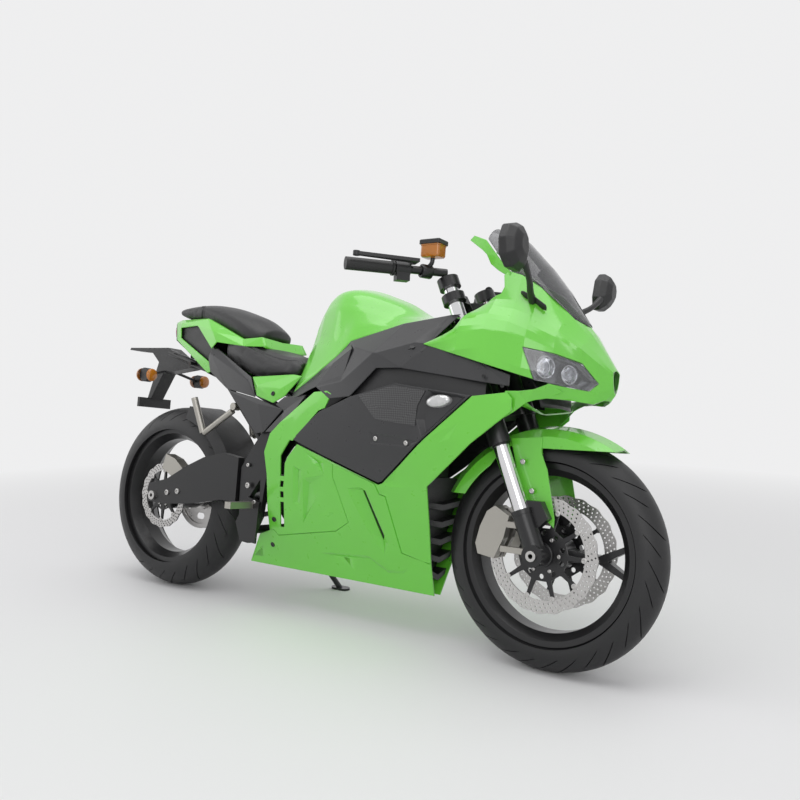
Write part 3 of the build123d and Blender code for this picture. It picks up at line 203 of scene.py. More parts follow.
finishes = {
    "red_lens": red_lens, "headlight_grey": headlight_grey,
    "carbon_weave": carbon_weave, "signal_glass": signal_glass,
    "green_paint": green_paint, "graphite_panel": graphite_panel,
    "black_plastic": black_plastic, "black_metal": black_metal, "chrome": chrome,
    "steel": steel, "cast_silver": cast_silver, "tyre": tyre_rubber, "rubber": rubber,
    "seat_vinyl": seat_vinyl, "smoked_screen": smoked_screen, "clear_lens": clear_lens,
    "amber_lens": amber_lens,
}
for part in frame["record"]["subparts"]:
    mesh = nodes[part["node"]].data
    mesh.materials.clear()
    mesh.materials.append(finishes[part["material_slot"]])

# ---- making pieces -------------------------------------------------------------------
# Shapes below are written in millimetres on the upright machine, right-hand side (y < 0).

MM = 0.001


def finish_piece(name, mesh, body, slot, stands_for=(), sharp=30, finish=None):
    """Object on the machine's axes, with its finish, its body and the CAD nodes it shows."""
    piece = bpy.data.objects.new(name, mesh)
    bpy.context.collection.objects.link(piece)
    piece.matrix_world = machine
    mesh.materials.append(finish or finishes[slot])
    mesh.shade_smooth()
    if sharp:
        mesh.set_sharp_from_angle(angle=radians(sharp))
    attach(piece, body)
    for node in stands_for:
        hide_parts(node)
    return piece


def mesh_from(name, points, faces, both_sides=False, weld=0.02, outward=True):
    """Mesh from millimetre points; `both_sides` adds the mirror image about the middle."""
    form = bmesh.new()
    sides = (1, -1) if both_sides else (1,)
    for sign in sides:
        made = [form.verts.new((x * MM, sign * y * MM, z * MM)) for x, y, z in points]
        for face in faces:
            corners = list(dict.fromkeys(made[i] for i in face))
            if len(corners) < 3:
                continue
            form.faces.new(corners if sign == 1 else corners[::-1])
    bmesh.ops.remove_doubles(form, verts=form.verts, dist=weld * MM)
    if outward:
        bmesh.ops.recalc_face_normals(form, faces=form.faces)
    mesh = bpy.data.meshes.new(name)
    form.to_mesh(mesh)
    form.free()
    return mesh


def modifier(piece, kind, **values):
    made = piece.modifiers.new(kind.lower(), kind)
    for key, value in values.items():
        setattr(made, key, value)
    return made


def apply_modifiers(piece):
    """The piece's mesh becomes what its modifiers show."""
    depsgraph = bpy.context.evaluated_depsgraph_get()
    mesh = bpy.data.meshes.new_from_object(piece.evaluated_get(depsgraph))
    piece.modifiers.clear()
    piece.data = mesh


def curve_through(points, steps, breaks=()):
    """Points on a smooth curve through `points`, with a corner at each index in `breaks`."""
    points = [Vector(p) for p in points]
    last = len(points) - 1
    out = []
    for i in range(last):
        a, b = points[i], points[i + 1]
        gap = max((b - a).length, 1e-6)
        slope_a = slope_b = (b - a) / gap
        if i > 0 and i not in breaks:
            before = max((a - points[i - 1]).length, 1e-6)
            slope_a = ((a - points[i - 1]) / before * gap + slope_a * before) / (gap + before)
        if i + 1 < last and i + 1 not in breaks:
            after = max((points[i + 2] - b).length, 1e-6)
            slope_b = (slope_b * after + (points[i + 2] - b) / after * gap) / (gap + after)
        for k in range(steps):
            t = k / steps
            out.append(a * (2 * t ** 3 - 3 * t ** 2 + 1) + b * (3 * t ** 2 - 2 * t ** 3)
                       + (slope_a * (t ** 3 - 2 * t ** 2 + t)
                          + slope_b * (t ** 3 - t ** 2)) * gap)
    out.append(points[last])
    return out


def grid_form(rows, steps=(4, 4), row_breaks=(), breaks=()):
    """Dense rows of points through rows of guide points, smooth except at the breaks."""
    columns = [curve_through(column, steps[0], row_breaks) for column in zip(*rows)]
    return [curve_through(row, steps[1], breaks) for row in zip(*columns)]


def grid_faces(rows, closed=False):
    wide = len(rows[0])
    faces = []
    for i in range(len(rows) - 1):
        for j in range(wide if closed else wide - 1):
            k = (j + 1) % wide
            faces.append((i * wide + j, i * wide + k, (i + 1) * wide + k, (i + 1) * wide + j))
    return faces


def grid_piece(name, rows, body, slot, stands_for=(), thickness=0, both_sides=True, sharp=24,
               closed=False, caps=False, weld=0.02, **smoothing):
    dense = grid_form(rows, **smoothing)
    faces = grid_faces(dense, closed)
    wide = len(dense[0])
    if caps:
        faces += [tuple(range(wide))[::-1], tuple(range(wide * (len(dense) - 1),
                                                          wide * len(dense)))]
    mesh = mesh_from(name, [p for row in dense for p in row], faces, both_sides, weld)
    piece = finish_piece(name, mesh, body, slot, stands_for, sharp)
    if thickness:
        modifier(piece, "SOLIDIFY", thickness=thickness * MM, offset=-1)
    return piece


def panel(name, points, outline, creases=(), body="chassis", slot="graphite_panel",
          stands_for=(), thickness=4, round_edge=1.6, finish=None, sharp=14):
    """Faceted panel on both flanks, from named side-view points {key: (x, y, z)}.

    `outline` and `creases` are strings or lists of keys; each crease is one straight fold line.
    """
    keys = list(points)
    at = {key: i for i, key in enumerate(keys)}
    ring = [at[key] for key in outline]
    lines = [(ring[i], ring[(i + 1) % len(ring)]) for i in range(len(ring))]
    for crease in creases:
        lines += [(at[crease[i]], at[crease[i + 1]]) for i in range(len(crease) - 1)]
    flat = [Vector((points[key][0], points[key][2])) for key in keys]
    found, _, cells, origins, _, _ = delaunay_2d_cdt(flat, lines, [ring], 1, 0.01)
    shell = []
    for place, source in zip(found, origins):
        y = points[keys[source[0]]][1] if source else 0
        shell.append((place.x, y, place.y))
    count = len(shell)
    faces = [tuple(cell) for cell in cells]
    back = [(x, y + thickness, z) for x, y, z in shell]
    edges = {}
    for cell in faces:
        for i in range(len(cell)):
            pair = (cell[i], cell[(i + 1) % len(cell)])
            edges[pair] = edges.get(pair, 0) + 1
    rim = [pair for pair in edges if (pair[1], pair[0]) not in edges]
    all_faces = faces + [tuple(i + count for i in cell[::-1]) for cell in faces]
    all_faces += [(b, a, a + count, b + count) for a, b in rim]
    mesh = mesh_from(name, shell + back, all_faces, both_sides=True, weld=0.001)
    piece = finish_piece(name, mesh, body, slot, stands_for, sharp, finish)
    if round_edge:
        modifier(piece, "BEVEL", width=round_edge * MM, segments=2, limit_method="ANGLE",
                 angle_limit=radians(sharp), harden_normals=False)
    return piece


def ring_points(radius, count, start=0.0):
    return [(radius * cos(start + 2 * pi * i / count), radius * sin(start + 2 * pi * i / count))
            for i in range(count)]


def lathe(name, profile, centre, axis, body, slot, count=48, stands_for=(), sharp=30):
    """Turned piece: profile of (distance along axis, radius) pairs about `axis` at `centre`."""
    axis = Vector(axis).normalized()
    first = axis.orthogonal().normalized()
    second = axis.cross(first)
    centre = Vector(centre)
    rows = [[centre + axis * along + (first * c + second * s) for c, s in
             ring_points(max(radius, 0.01), count)] for along, radius in profile]
    faces = grid_faces(rows, closed=True)
    mesh = mesh_from(name, [p for row in rows for p in row], faces, weld=0.03)
    return finish_piece(name, mesh, body, slot, stands_for, sharp)


def tube(name, points, radius, body, slot, sides=12, steps=6, taper=None, both_sides=False):
    """Round bar or pipe along a smooth curve; `taper` gives a radius for each guide point."""
    path = curve_through(points, steps)
    radii = [radius] * len(points) if taper is None else taper
    sizes = [v.x for v in curve_through([(r, 0, 0) for r in radii], steps)]
    rows = []
    normal = (path[1] - path[0]).orthogonal().normalized()
    for i, point in enumerate(path):
        run = (path[min(i + 1, len(path) - 1)] - path[max(i - 1, 0)]).normalized()
        normal = (normal - run * normal.dot(run)).normalized()
        other = run.cross(normal)
        rows.append([point + normal * c + other * s for c, s in ring_points(sizes[i], sides)])
    faces = grid_faces(rows, closed=True)
    faces += [tuple(range(sides))[::-1],
              tuple(range(sides * (len(rows) - 1), sides * len(rows)))]
    mesh = mesh_from(name, [p for row in rows for p in row], faces, both_sides)
    return finish_piece(name, mesh, body, slot, sharp=40)


def bolts(name, places, body, slot="black_metal", radius=4.5, height=3, both_sides=True,
          socket=True):
    """Round bolt heads with a hex socket; each place is (x, y, z, outward direction)."""
    points, faces = [], []
    count = 16
    for x, y, z, outward in places:
        out = Vector(outward).normalized()
        first = out.orthogonal().normalized()
        second = out.cross(first)
        centre = Vector((x, y, z))
        profile = [(-1, radius), (height * 0.7, radius), (height, radius * 0.75)]
        if socket:
            profile += [(height, radius * 0.5), (height * 0.3, radius * 0.46)]
        rows = [[centre + out * along + first * c + second * s
                 for c, s in ring_points(size, count)] for along, size in profile]
        base = len(points)
        points += [p for row in rows for p in row]
        faces += [tuple(i + base for i in face) for face in grid_faces(rows, closed=True)]
        faces.append(tuple(base + count * (len(rows) - 1) + i for i in range(count)))
    mesh = mesh_from(name, points, faces, both_sides, weld=0.001)
    return finish_piece(name, mesh, body, slot, sharp=30)

# The flank law: half width of the body at stations along X, as (half width, height) pairs.
FLANK = {
    380: [(25, 140), (74, 240), (118, 360), (150, 480), (162, 600), (150, 700), (110, 770)],
    520: [(24, 139), (86, 252), (138, 370), (168, 490), (178, 600), (165, 700), (120, 780)],
    700: [(20, 138), (92, 280), (150, 410), (185, 520), (195, 620), (185, 720), (130, 800)],
    850: [(18, 137), (95, 290), (155, 420), (195, 520), (208, 640), (200, 770), (140, 830)],
    1000: [(17, 136), (95, 300), (160, 430), (200, 540), (214, 660), (205, 790), (125, 860)],
    1150: [(17, 136), (95, 300), (160, 430), (195, 550), (208, 670), (192, 790), (125, 880)],
    1350: [(17, 136), (90, 300), (150, 430), (175, 560), (180, 670), (150, 740), (110, 880)],
}


def between(value, stops):
    """Index and share of `value` in the rising list `stops`, held at its ends."""
    value = min(max(value, stops[0]), stops[-1])
    i = max(k for k in range(len(stops) - 1) if stops[k] <= value)
    return i, (value - stops[i]) / (stops[i + 1] - stops[i])


def flank(x, z):
    """Half width of the body at a side-view point."""
    stops = sorted(FLANK)
    i, share = between(x, stops)
    section = [((1 - share) * a[0] + share * b[0], (1 - share) * a[1] + share * b[1])
               for a, b in zip(FLANK[stops[i]], FLANK[stops[i + 1]])]
    j, rise = between(z, [point[1] for point in section])
    return (1 - rise) * section[j][0] + rise * section[j + 1][0]


def inside(x, z, ring):
    """Whether a side-view point lies inside a closed outline."""
    hit = False
    for i in range(len(ring)):
        (xa, za), (xb, zb) = ring[i - 1][:2], ring[i][:2]
        if (za > z) != (zb > z) and x < xa + (xb - xa) * (z - za) / (zb - za):
            hit = not hit
    return hit


def flank_panel(name, outline, folds=(), recesses=(), holes=(), body="chassis",
                slot="green_paint", stands_for=(), thickness=4, grid=45, base=0, sharp=11,
                round_edge=1.6, finish=None):
    """Panel that follows the flank law. Points are (x, z) or (x, z, depth below the law).

    `folds` are open lines; `recesses` and `holes` are closed ones, and the holes stay open.
    """
    flat, depth, lines = [], [], []

    def add_line(line, closed):
        first = len(flat)
        for point in line:
            flat.append(Vector(point[:2]))
            depth.append(point[2] if len(point) > 2 else 0)
        count = len(line)
        for i in range(count if closed else count - 1):
            lines.append((first + i, first + (i + 1) % count))

    add_line(outline, True)
    ring = list(range(len(outline)))
    for line in folds:
        add_line(line, False)
    for line in list(recesses) + list(holes):
        add_line(line, True)
    xs, zs = [p[0] for p in outline], [p[1] for p in outline]
    for i in range(int((max(xs) - min(xs)) / grid)):
        for j in range(int((max(zs) - min(zs)) / grid)):
            x = min(xs) + (i + 0.5 + 0.25 * (j % 2)) * grid
            z = min(zs) + (j + 0.5) * grid
            near = any((a - Vector((x, z))).length < grid * 0.4 for a in flat)
            if inside(x, z, outline) and not near and not any(
                    inside(x, z, line) for line in list(recesses) + list(holes)):
                flat.append(Vector((x, z)))
                depth.append(0)
    found, _, cells, sources, _, _ = delaunay_2d_cdt(flat, lines, [ring], 1, 0.01)
    shell = []
    for place, source in zip(found, sources):
        drop_in = depth[source[0]] if source else 0
        shell.append((place.x, drop_in + base - flank(place.x, place.y), place.y))
    faces = []
    for cell in cells:
        x = sum(shell[i][0] for i in cell) / len(cell)
        z = sum(shell[i][2] for i in cell) / len(cell)
        if not any(inside(x, z, hole) for hole in holes):
            faces.append(tuple(cell))
    count = len(shell)
    edges = set()
    for cell in faces:
        edges |= {(cell[i], cell[(i + 1) % len(cell)]) for i in range(len(cell))}
    rim = [pair for pair in edges if (pair[1], pair[0]) not in edges]
    back = [(x, min(y + thickness, -2), z) for x, y, z in shell]
    faces += [tuple(i + count for i in cell[::-1]) for cell in faces]
    faces += [(b, a, a + count, b + count) for a, b in sorted(rim)]
    mesh = mesh_from(name, shell + back, faces, both_sides=True, weld=0.001)
    piece = finish_piece(name, mesh, body, slot, stands_for, sharp, finish)
    if round_edge:
        modifier(piece, "BEVEL", width=round_edge * MM, segments=2, limit_method="ANGLE",
                 angle_limit=radians(35))
    return piece


def seam(points, width=2.4, depth=3):
    """Three lines that press a narrow joint line into a flank panel."""
    lines = []
    for offset, drop_in in ((-width / 2, 0), (0, depth), (width / 2, 0)):
        line = []
        for i, (x, z) in enumerate(points):
            before, after = points[max(i - 1, 0)], points[min(i + 1, len(points) - 1)]
            run = Vector((after[0] - before[0], after[1] - before[1])).normalized()
            line.append((x - run.y * offset, z + run.x * offset, drop_in))
        lines.append(line)
    return lines

# ---- bodywork ------------------------------------------------------------------------

TANK_ROWS = [
    [(1130, 0, 872), (1134, -40, 873), (1140, -84, 876), (1144, -106, 879), (1148, -123, 882)],
    [(1050, 0, 893), (1050, -45, 891), (1050, -88, 887), (1052, -108, 883), (1055, -124, 879)],
    [(985, 0, 908), (985, -50, 903), (980, -98, 888), (978, -112, 879), (976, -125, 868)],
    [(923, 0, 943), (923, -56, 930), (916, -98, 890), (908, -115, 869), (900, -128, 847)],
    [(852, 0, 970), (852, -60, 954), (849, -97, 906), (846, -117, 869), (840, -132, 831)],
    [(790, 0, 989), (790, -60, 972), (787, -95, 919), (793, -118, 868), (806, -138, 817)],
    [(742, 0, 998), (742, -58, 981), (746, -92, 927), (757, -117, 846), (757, -150, 768)],
    [(706, 0, 1000), (703, -52, 983), (714, -88, 929), (731, -117, 830), (714, -150, 738)],
    [(668, 0, 994), (660, -36, 978), (664, -66, 932), (675, -96, 834), (677, -150, 708)],
    [(643, 0, 984), (634, -27, 966), (626, -50, 920), (634, -77, 836), (640, -148, 688)],
    [(618, 0, 958), (612, -22, 942), (606, -42, 892), (611, -62, 836), (604, -140, 668)],
    [(592, 0, 914), (592, -19, 906), (593, -38, 876), (597, -57, 824), (590, -128, 662)],
    [(592, 0, 879), (593, -19, 873), (594, -37, 848), (584, -60, 785), (578, -108, 664)],
    [(600, 0, 838), (599, -20, 835), (594, -38, 812), (571, -58, 752), (568, -78, 668)],
    [(568, 0, 775), (568, -20, 772), (566, -36, 762), (559, -48, 722), (561, -46, 674)],
    [(556, 0, 735), (556, -12, 733), (555, -24, 728), (554, -30, 702), (558, -22, 679)],
]
grid_piece("tank_shell", TANK_ROWS, "chassis", "green_paint", ["tank_cover", "tank_stays"],
           thickness=3, steps=(5, 6), breaks=(2, 3), row_breaks=(9,))

UPPER = {
    "a": (802, -139, 820), "b": (976, -129, 869), "c": (1124, -127, 889),
    "d": (1154, -130, 890), "e": (1148, -142, 876), "f": (1096, -186, 802),
    "g": (1050, -182, 809), "h": (943, -203, 778), "i": (931, -203, 778),
    "j": (844, -169, 799), "k": (1247, -174, 756), "l": (1257, -183, 708),
    "m": (1028, -207, 738), "n": (949, -206, 737), "q": (828, -200, 700),
    "s": (733, -193, 682), "t": (868, -208, 658), "r": (791, -202, 650),
    "u": (1330, -168, 728), "v": (1330, -170, 700),
}
panel("side_panel_upper_faceted", UPPER, "abcdefkuvlmntrs",
      ["aj", "ji", "ih", "hg", "gf", "hm", "in", "jq", "qr", "kl", "kv"],
      stands_for=["side_panels_upper"], sharp=4)
# Green-painted triangle, 6 mm thick, set on the graphite upper panel.
GREEN_TRIANGLE = {"a": (828, -150.5, 813), "b": (921, -147, 815), "c": (881, -176, 789)}
panel("upper_panel_green_triangle", GREEN_TRIANGLE, "abc", slot="green_paint", thickness=6, round_edge=0)
STRIPE = [
    (936, 756), (1028, 756), (1150, 738), (1264, 720), (1270, 664), (1150, 676), (1034, 690),
    (1003, 680), (856, 642), (860, 668),
]
flank_panel("side_intake_backing", STRIPE, slot="black_plastic", base=14, thickness=3,
            round_edge=0)
TRIM = {
    "a": (604, -143, 667), "b": (677, -153, 709), "c": (757, -153, 767),
    "d": (806, -141, 815), "e": (836, -174, 794), "f": (826, -196, 700),
    "g": (733, -191, 684), "h": (690, -178, 672), "i": (640, -163, 655),
    "j": (610, -152, 652), "k": (700, -172, 700), "l": (775, -176, 752),
}
panel("tank_side_trims", TRIM, "abcdefghij", ["akl", "jk", "lf"], slot="graphite_panel",
      thickness=3)

TAIL = {
    "a": (-41, -60, 905), "b": (-8, -64, 913), "c": (157, -95, 909), "d": (240, -100, 876),
    "e": (332, -99, 838), "f": (412, -97, 843), "g": (430, -102, 812), "h": (350, -114, 812),
    "i": (233, -121, 826), "j": (209, -119, 805), "k": (113, -101, 885),
    "l": (13, -86, 882), "m": (12, -82, 848), "n": (194, -112, 762), "o": (215, -113, 730),
    "p": (184, -106, 726), "q": (-15, -76, 842), "r": (205, -117, 864), "s": (20, -88, 897),
}
panel("tail_side", TAIL, "abcdefghijklmnopq", ["cr", "ri", "kr", "rh", "ks", "sl", "sa"],
      slot="green_paint", stands_for=["tail_fairing"], thickness=5, sharp=4)
INSET = {
    "a": (8, -76, 888), "b": (118, -92, 890), "c": (215, -109, 803), "d": (200, -103, 756),
    "e": (6, -72, 843), "f": (100, -84, 846),
}
panel("tail_intake", INSET, "abcde", ["bf", "fd", "fe"], slot="black_plastic", thickness=3,
      round_edge=0)
DECK = [
    [(-41, 0, 912), (-41, -30, 911), (-41, -60, 905)],
    [(-8, 0, 918), (-8, -32, 917), (-8, -64, 913)],
    [(157, 0, 906), (157, -50, 908), (157, -95, 909)],
    [(240, 0, 872), (240, -50, 874), (240, -100, 876)],
    [(332, 0, 830), (332, -50, 834), (332, -99, 838)],
    [(412, 0, 838), (412, -50, 841), (412, -97, 843)],
    [(432, 0, 800), (432, -50, 803), (430, -102, 812)],
]
grid_piece("tail_deck", DECK, "chassis", "green_paint", thickness=4, steps=(4, 3),
           row_breaks=(1, 2, 4, 5))
UNDER = [
    [(-41, 0, 903), (-41, -30, 903), (-40, -59, 901)],
    [(-18, 0, 842), (-18, -40, 842), (-17, -74, 843)],
    [(90, 0, 776), (90, -50, 778), (90, -88, 785)],
    [(184, 0, 716), (184, -50, 718), (184, -102, 728)],
    [(250, 0, 690), (250, -50, 692), (250, -98, 712)],
]
grid_piece("tail_undertray", UNDER, "chassis", "black_plastic", thickness=3, steps=(5, 3),
           row_breaks=(1,))

COVER = {
    "a": (211, -118, 802), "b": (232, -112, 806), "c": (416, -133, 712), "d": (449, -143, 650),
    "e": (316, -138, 674), "f": (218, -124, 729), "g": (196, -117, 776),
    "h": (214, -126, 788), "i": (408, -142, 703), "j": (418, -143, 694),
}
panel("seat_cover_upper", COVER, "abcdefg", ["ah", "hg", "hi", "ic", "id", "hf"],
      stands_for=["seat_side_covers"], sharp=4)
LOWER_COVER = {
    "a": (320, -136, 671), "b": (452, -145, 648), "c": (577, -153, 616), "d": (498, -144, 545),
    "e": (462, -139, 538), "f": (470, -150, 630),
}
panel("seat_cover_lower", LOWER_COVER, "abcde", ["af", "fc", "fe"], sharp=4)
REAR_QUARTER = {
    "a": (540, -147, 630), "b": (578, -152, 653), "c": (676, -165, 662),
    "d": (600, -158, 580), "e": (562, -152, 548), "f": (505, -146, 545),
    "g": (580, -151, 610),
}
panel("seat_cover_front", REAR_QUARTER, "abcdefg", ["bg", "gd"], sharp=4)
FIN = {
    "a": (419, -131, 714), "b": (600, -143, 722), "c": (636, -147, 717),
    "d": (578, -152, 655), "e": (534, -152, 634), "f": (456, -144, 654),
    "g": (462, -150, 684), "h": (560, -155, 676),
}
panel("tank_side_fin", FIN, "abcdef", ["bg", "gh", "hc", "gf", "ag"], slot="green_paint",
      sharp=4)
bolts("fin_bolts", [(534, -154, 662, (0, -1, 0.2))], "chassis", radius=7, height=2.5)
FAIRING = [
    (376, 131), (500, 131), (700, 131), (880, 131), (1066, 131), (1074, 224), (1092, 330),
    (1108, 434), (1242, 554), (1345, 638), (1345, 668), (1330, 684), (1243, 671), (1090, 537),
    (1021, 476), (965, 430), (950, 425), (648, 524), (754, 616), (778, 624), (798, 664),
    (780, 672), (729, 668), (598, 576), (555, 542), (530, 486), (532, 422), (511, 314),
    (499, 246), (449, 229),
]
REAR_POCKET = [(644, 454), (729, 463), (674, 441, 1), (645, 343), (621, 341)]
FRONT_POCKET = [(679, 419), (758, 436), (775, 413), (718, 371), (643, 284)]
SMALL_POCKET = [(703, 495), (764, 470), (762, 440), (727, 465)]
VENT = [(840, 406), (884, 413), (907, 403), (941, 262), (921, 228), (878, 298), (843, 388)]
VENT_SLOT = [(885, 404, 12), (899, 405, 2), (934, 282, 2), (920, 268, 12)]
SLOT_HOLES = [
    [(640, 528), (672, 518), (627, 478), (612, 458), (604, 420), (588, 420), (598, 480)],
    [(600, 405), (586, 405), (581, 387), (595, 387)],
    [(592, 373), (578, 373), (574, 355), (588, 355)],
    [(584, 341), (570, 341), (549, 263), (564, 263)],
]
flank_panel(
    "lower_fairing_faceted", FAIRING, stands_for=["lower_fairings"],
    recesses=[REAR_POCKET, FRONT_POCKET, SMALL_POCKET, VENT], holes=SLOT_HOLES + [VENT_SLOT],
    folds=[
        [(644, 454), (656, 443, 9), (674, 441, 1)], [(656, 443, 9), (636, 350, 5), (621, 341)],
        [(679, 419), (691, 407, 12), (758, 436)], [(691, 407, 12), (654, 306, 6), (643, 284)],
        [(691, 407, 12), (775, 413)],
        [(703, 495), (737, 470, 9), (762, 440)], [(737, 470, 9), (764, 470)],
        [(711, 204), (863, 215), (921, 182), (974, 188)],
        [(711, 199, 4), (863, 208, 5), (921, 173, 5), (974, 181, 3)],
        [(1048, 226), (1062, 330), (1082, 436), (1140, 488)],
        [(994, 466), (1000, 443, 6), (1091, 441)], [(1055, 461), (1000, 443, 6)],
        [(1112, 556), (1150, 549, 6), (1200, 541)], [(1150, 549, 6), (1183, 560)],
        [(757, 640), (700, 600), (640, 540)],
        *seam([(519, 250), (531, 234), (763, 275), (817, 307), (792, 434), (800, 470)]),
        *seam([(938, 427), (947, 399), (966, 395), (982, 240), (1068, 222)], 4, 5),
    ])
# Painted shade: a black sheet set 16 mm back behind the vent slot stands in for the shadowed inside wall of the
# slot.
VENT_SHADE_SHEET = [(878, 408), (904, 408), (940, 280), (920, 262)]
flank_panel("vent_shade_sheet", VENT_SHADE_SHEET, slot="black_plastic", base=16, thickness=3,
            round_edge=0)
bolts("fairing_bolts", [(530, -(flank(530, 283)) - 0.5, 283, (0, -1, -0.3)),
                        (494, -(flank(494, 200)) - 0.5, 200, (0, -1, -0.3))],
      "chassis", "black_metal", radius=8, height=2)

SIDE_PANEL = [
    (648, 531), (700, 514), (800, 481), (950, 431), (963, 435), (1019, 481), (1088, 542),
    (1238, 672), (1130, 684), (1020, 697), (1003, 693), (868, 657), (785, 623), (757, 613),
]
SIGNAL_POCKET = [(1120, 682), (1096, 640), (1088, 606), (1104, 560), (1226, 667), (1200, 674)]
BOLT_PLATE = [(940, 566), (942, 534), (1062, 531), (1092, 549), (1060, 556)]
flank_panel(
    "side_panel_lower_faceted", SIDE_PANEL, slot="graphite_panel",
    stands_for=["side_panels_lower"], recesses=[SIGNAL_POCKET, BOLT_PLATE],
    folds=[[(1120, 682), (1128, 672, 16), (1104, 606, 14), (1110, 574, 12), (1214, 665, 10),
            (1128, 672, 16)],
           [(940, 566), (946, 559, 4), (1058, 550, 4), (1084, 548, 3), (1060, 537, 4),
            (948, 540, 4), (946, 559, 4)]])
bolts("side_panel_bolts", [(959, -(flank(959, 549)) + 4, 549, (0, -1, -0.1)),
                           (1056, -(flank(1056, 543)) + 4, 543, (0, -1, -0.1))],
      "chassis", "steel", radius=6.5, height=4)
CARBON = [(960, 600), (1086, 588), (1092, 640), (1114, 680), (1020, 691), (1004, 688), (900, 662)]
flank_panel("carbon_patch", CARBON, slot="carbon_weave", base=-2.2, thickness=1, round_edge=0)

# ---- seats ---------------------------------------------------------------------------


def seat_form(name, stations, wrap, node):
    """Closed upholstered form from (x, half width, underside, side top, crown) stations."""
    rows = []
    for x, half, low, side_top, crown in stations:
        row = []
        profile = [(0, crown), (0.45, crown - 0.16 * (crown - side_top)),
                   (0.78, crown - 0.55 * (crown - side_top)), (0.95, side_top),
                   (1.0, side_top - 0.35 * (side_top - low)), (0.96, low + 3), (0.88, low),
                   (0.45, low), (0, low)]
        for share, z in profile:
            y = -half * share
            row.append((x + wrap * (y / half) ** 2, y, z))
        rows.append(row)
    dense = grid_form(rows, steps=(8, 4), breaks=(5, 6))
    faces = grid_faces(dense)
    wide = len(dense[0])
    points = [p for row in dense for p in row]
    for index, row in ((0, dense[0]), (len(dense) - 1, dense[-1])):
        base = index * wide
        top = wide // 2
        for k in range(top):
            quad = (base + k, base + k + 1, base + wide - 2 - k, base + wide - 1 - k)
            faces.append(quad if index == 0 else quad[::-1])
    mesh = mesh_from(name, points, faces, both_sides=True)
    return finish_piece(name, mesh, "chassis", "seat_vinyl", [node], sharp=0)


def swell(piece, voxel, pressure, cap):
    """The cushion's cloth skin puffed out over its foam by at most `cap` millimetres."""
    modifier(piece, "REMESH", mode="VOXEL", voxel_size=voxel * MM)
    apply_modifiers(piece)
    before = [v.co.copy() for v in piece.data.vertices]
    cloth = modifier(piece, "CLOTH")
    cloth.settings.quality = 5
    cloth.settings.use_pressure = True
    cloth.settings.uniform_pressure_force = pressure
    cloth.settings.effector_weights.gravity = 0
    cloth.settings.tension_stiffness = 40
    cloth.settings.compression_stiffness = 40
    cloth.settings.bending_stiffness = 2
    for number in range(1, 13):
        bpy.context.scene.frame_set(number)
    apply_modifiers(piece)
    bpy.context.scene.frame_set(1)
    for vertex, start in zip(piece.data.vertices, before):
        moved = vertex.co - start
        if moved.length > cap * MM:
            vertex.co = start + moved * (cap * MM / moved.length)
    modifier(piece, "SMOOTH", factor=0.5, iterations=3)
    apply_modifiers(piece)


def stitch_line(piece, distance, depth, width):
    """Presses a seam into the skin where distance(x, y, z) in millimetres is near nought."""
    modifier(piece, "SUBSURF", levels=1, render_levels=1)
    apply_modifiers(piece)
    mesh = piece.data
    for vertex in mesh.vertices:
        x, y, z = (vertex.co / MM)
        gap = distance(x, y, z)
        if abs(gap) < 3 * width:
            press = depth * 2.718 ** (-(gap / width) ** 2)
            roll = 0.35 * depth * 2.718 ** (-((abs(gap) - 2 * width) / width) ** 2)
            vertex.co -= vertex.normal * ((press - roll) * MM)
    mesh.shade_smooth()


PILLION = [
    (-33, 50, 934, 939, 944), (-20, 60, 928, 943, 953), (10, 68, 923, 945, 958),
    (54, 76, 918, 946, 961), (125, 86, 911, 944, 963), (200, 91, 889, 930, 954),
    (280, 91, 857, 906, 933), (345, 86, 835, 876, 911), (383, 76, 838, 862, 887),
    (399, 62, 850, 862, 874),
]
pillion = seat_form("pillion_cushion", PILLION, -8, "pillion_seat")
swell(pillion, 5, 4, 6)
stitch_line(pillion, lambda x, y, z: (x - (52 + 66 * (abs(y) / 88) ** 1.6))
            if z > 905 else 99, 3.4, 2.6)

RIDER = [
    (227, 94, 792, 812, 820), (240, 106, 777, 824, 836), (270, 114, 763, 827, 840),
    (330, 120, 741, 815, 832), (396, 124, 721, 795, 815), (457, 125, 716, 775, 796),
    (510, 122, 716, 764, 784), (556, 116, 718, 760, 779), (566, 106, 730, 757, 772),
]
rider = seat_form("rider_cushion", RIDER, 30, "rider_seat")
swell(rider, 5, 4, 6)
stitch_line(rider, lambda x, y, z: (abs(y) - (97 + 12 * sin(pi * (x - 225) / 370)))
            if z > 758 and x > 238 else 99, 2.4, 2.4)

# ---- wheels --------------------------------------------------------------------------


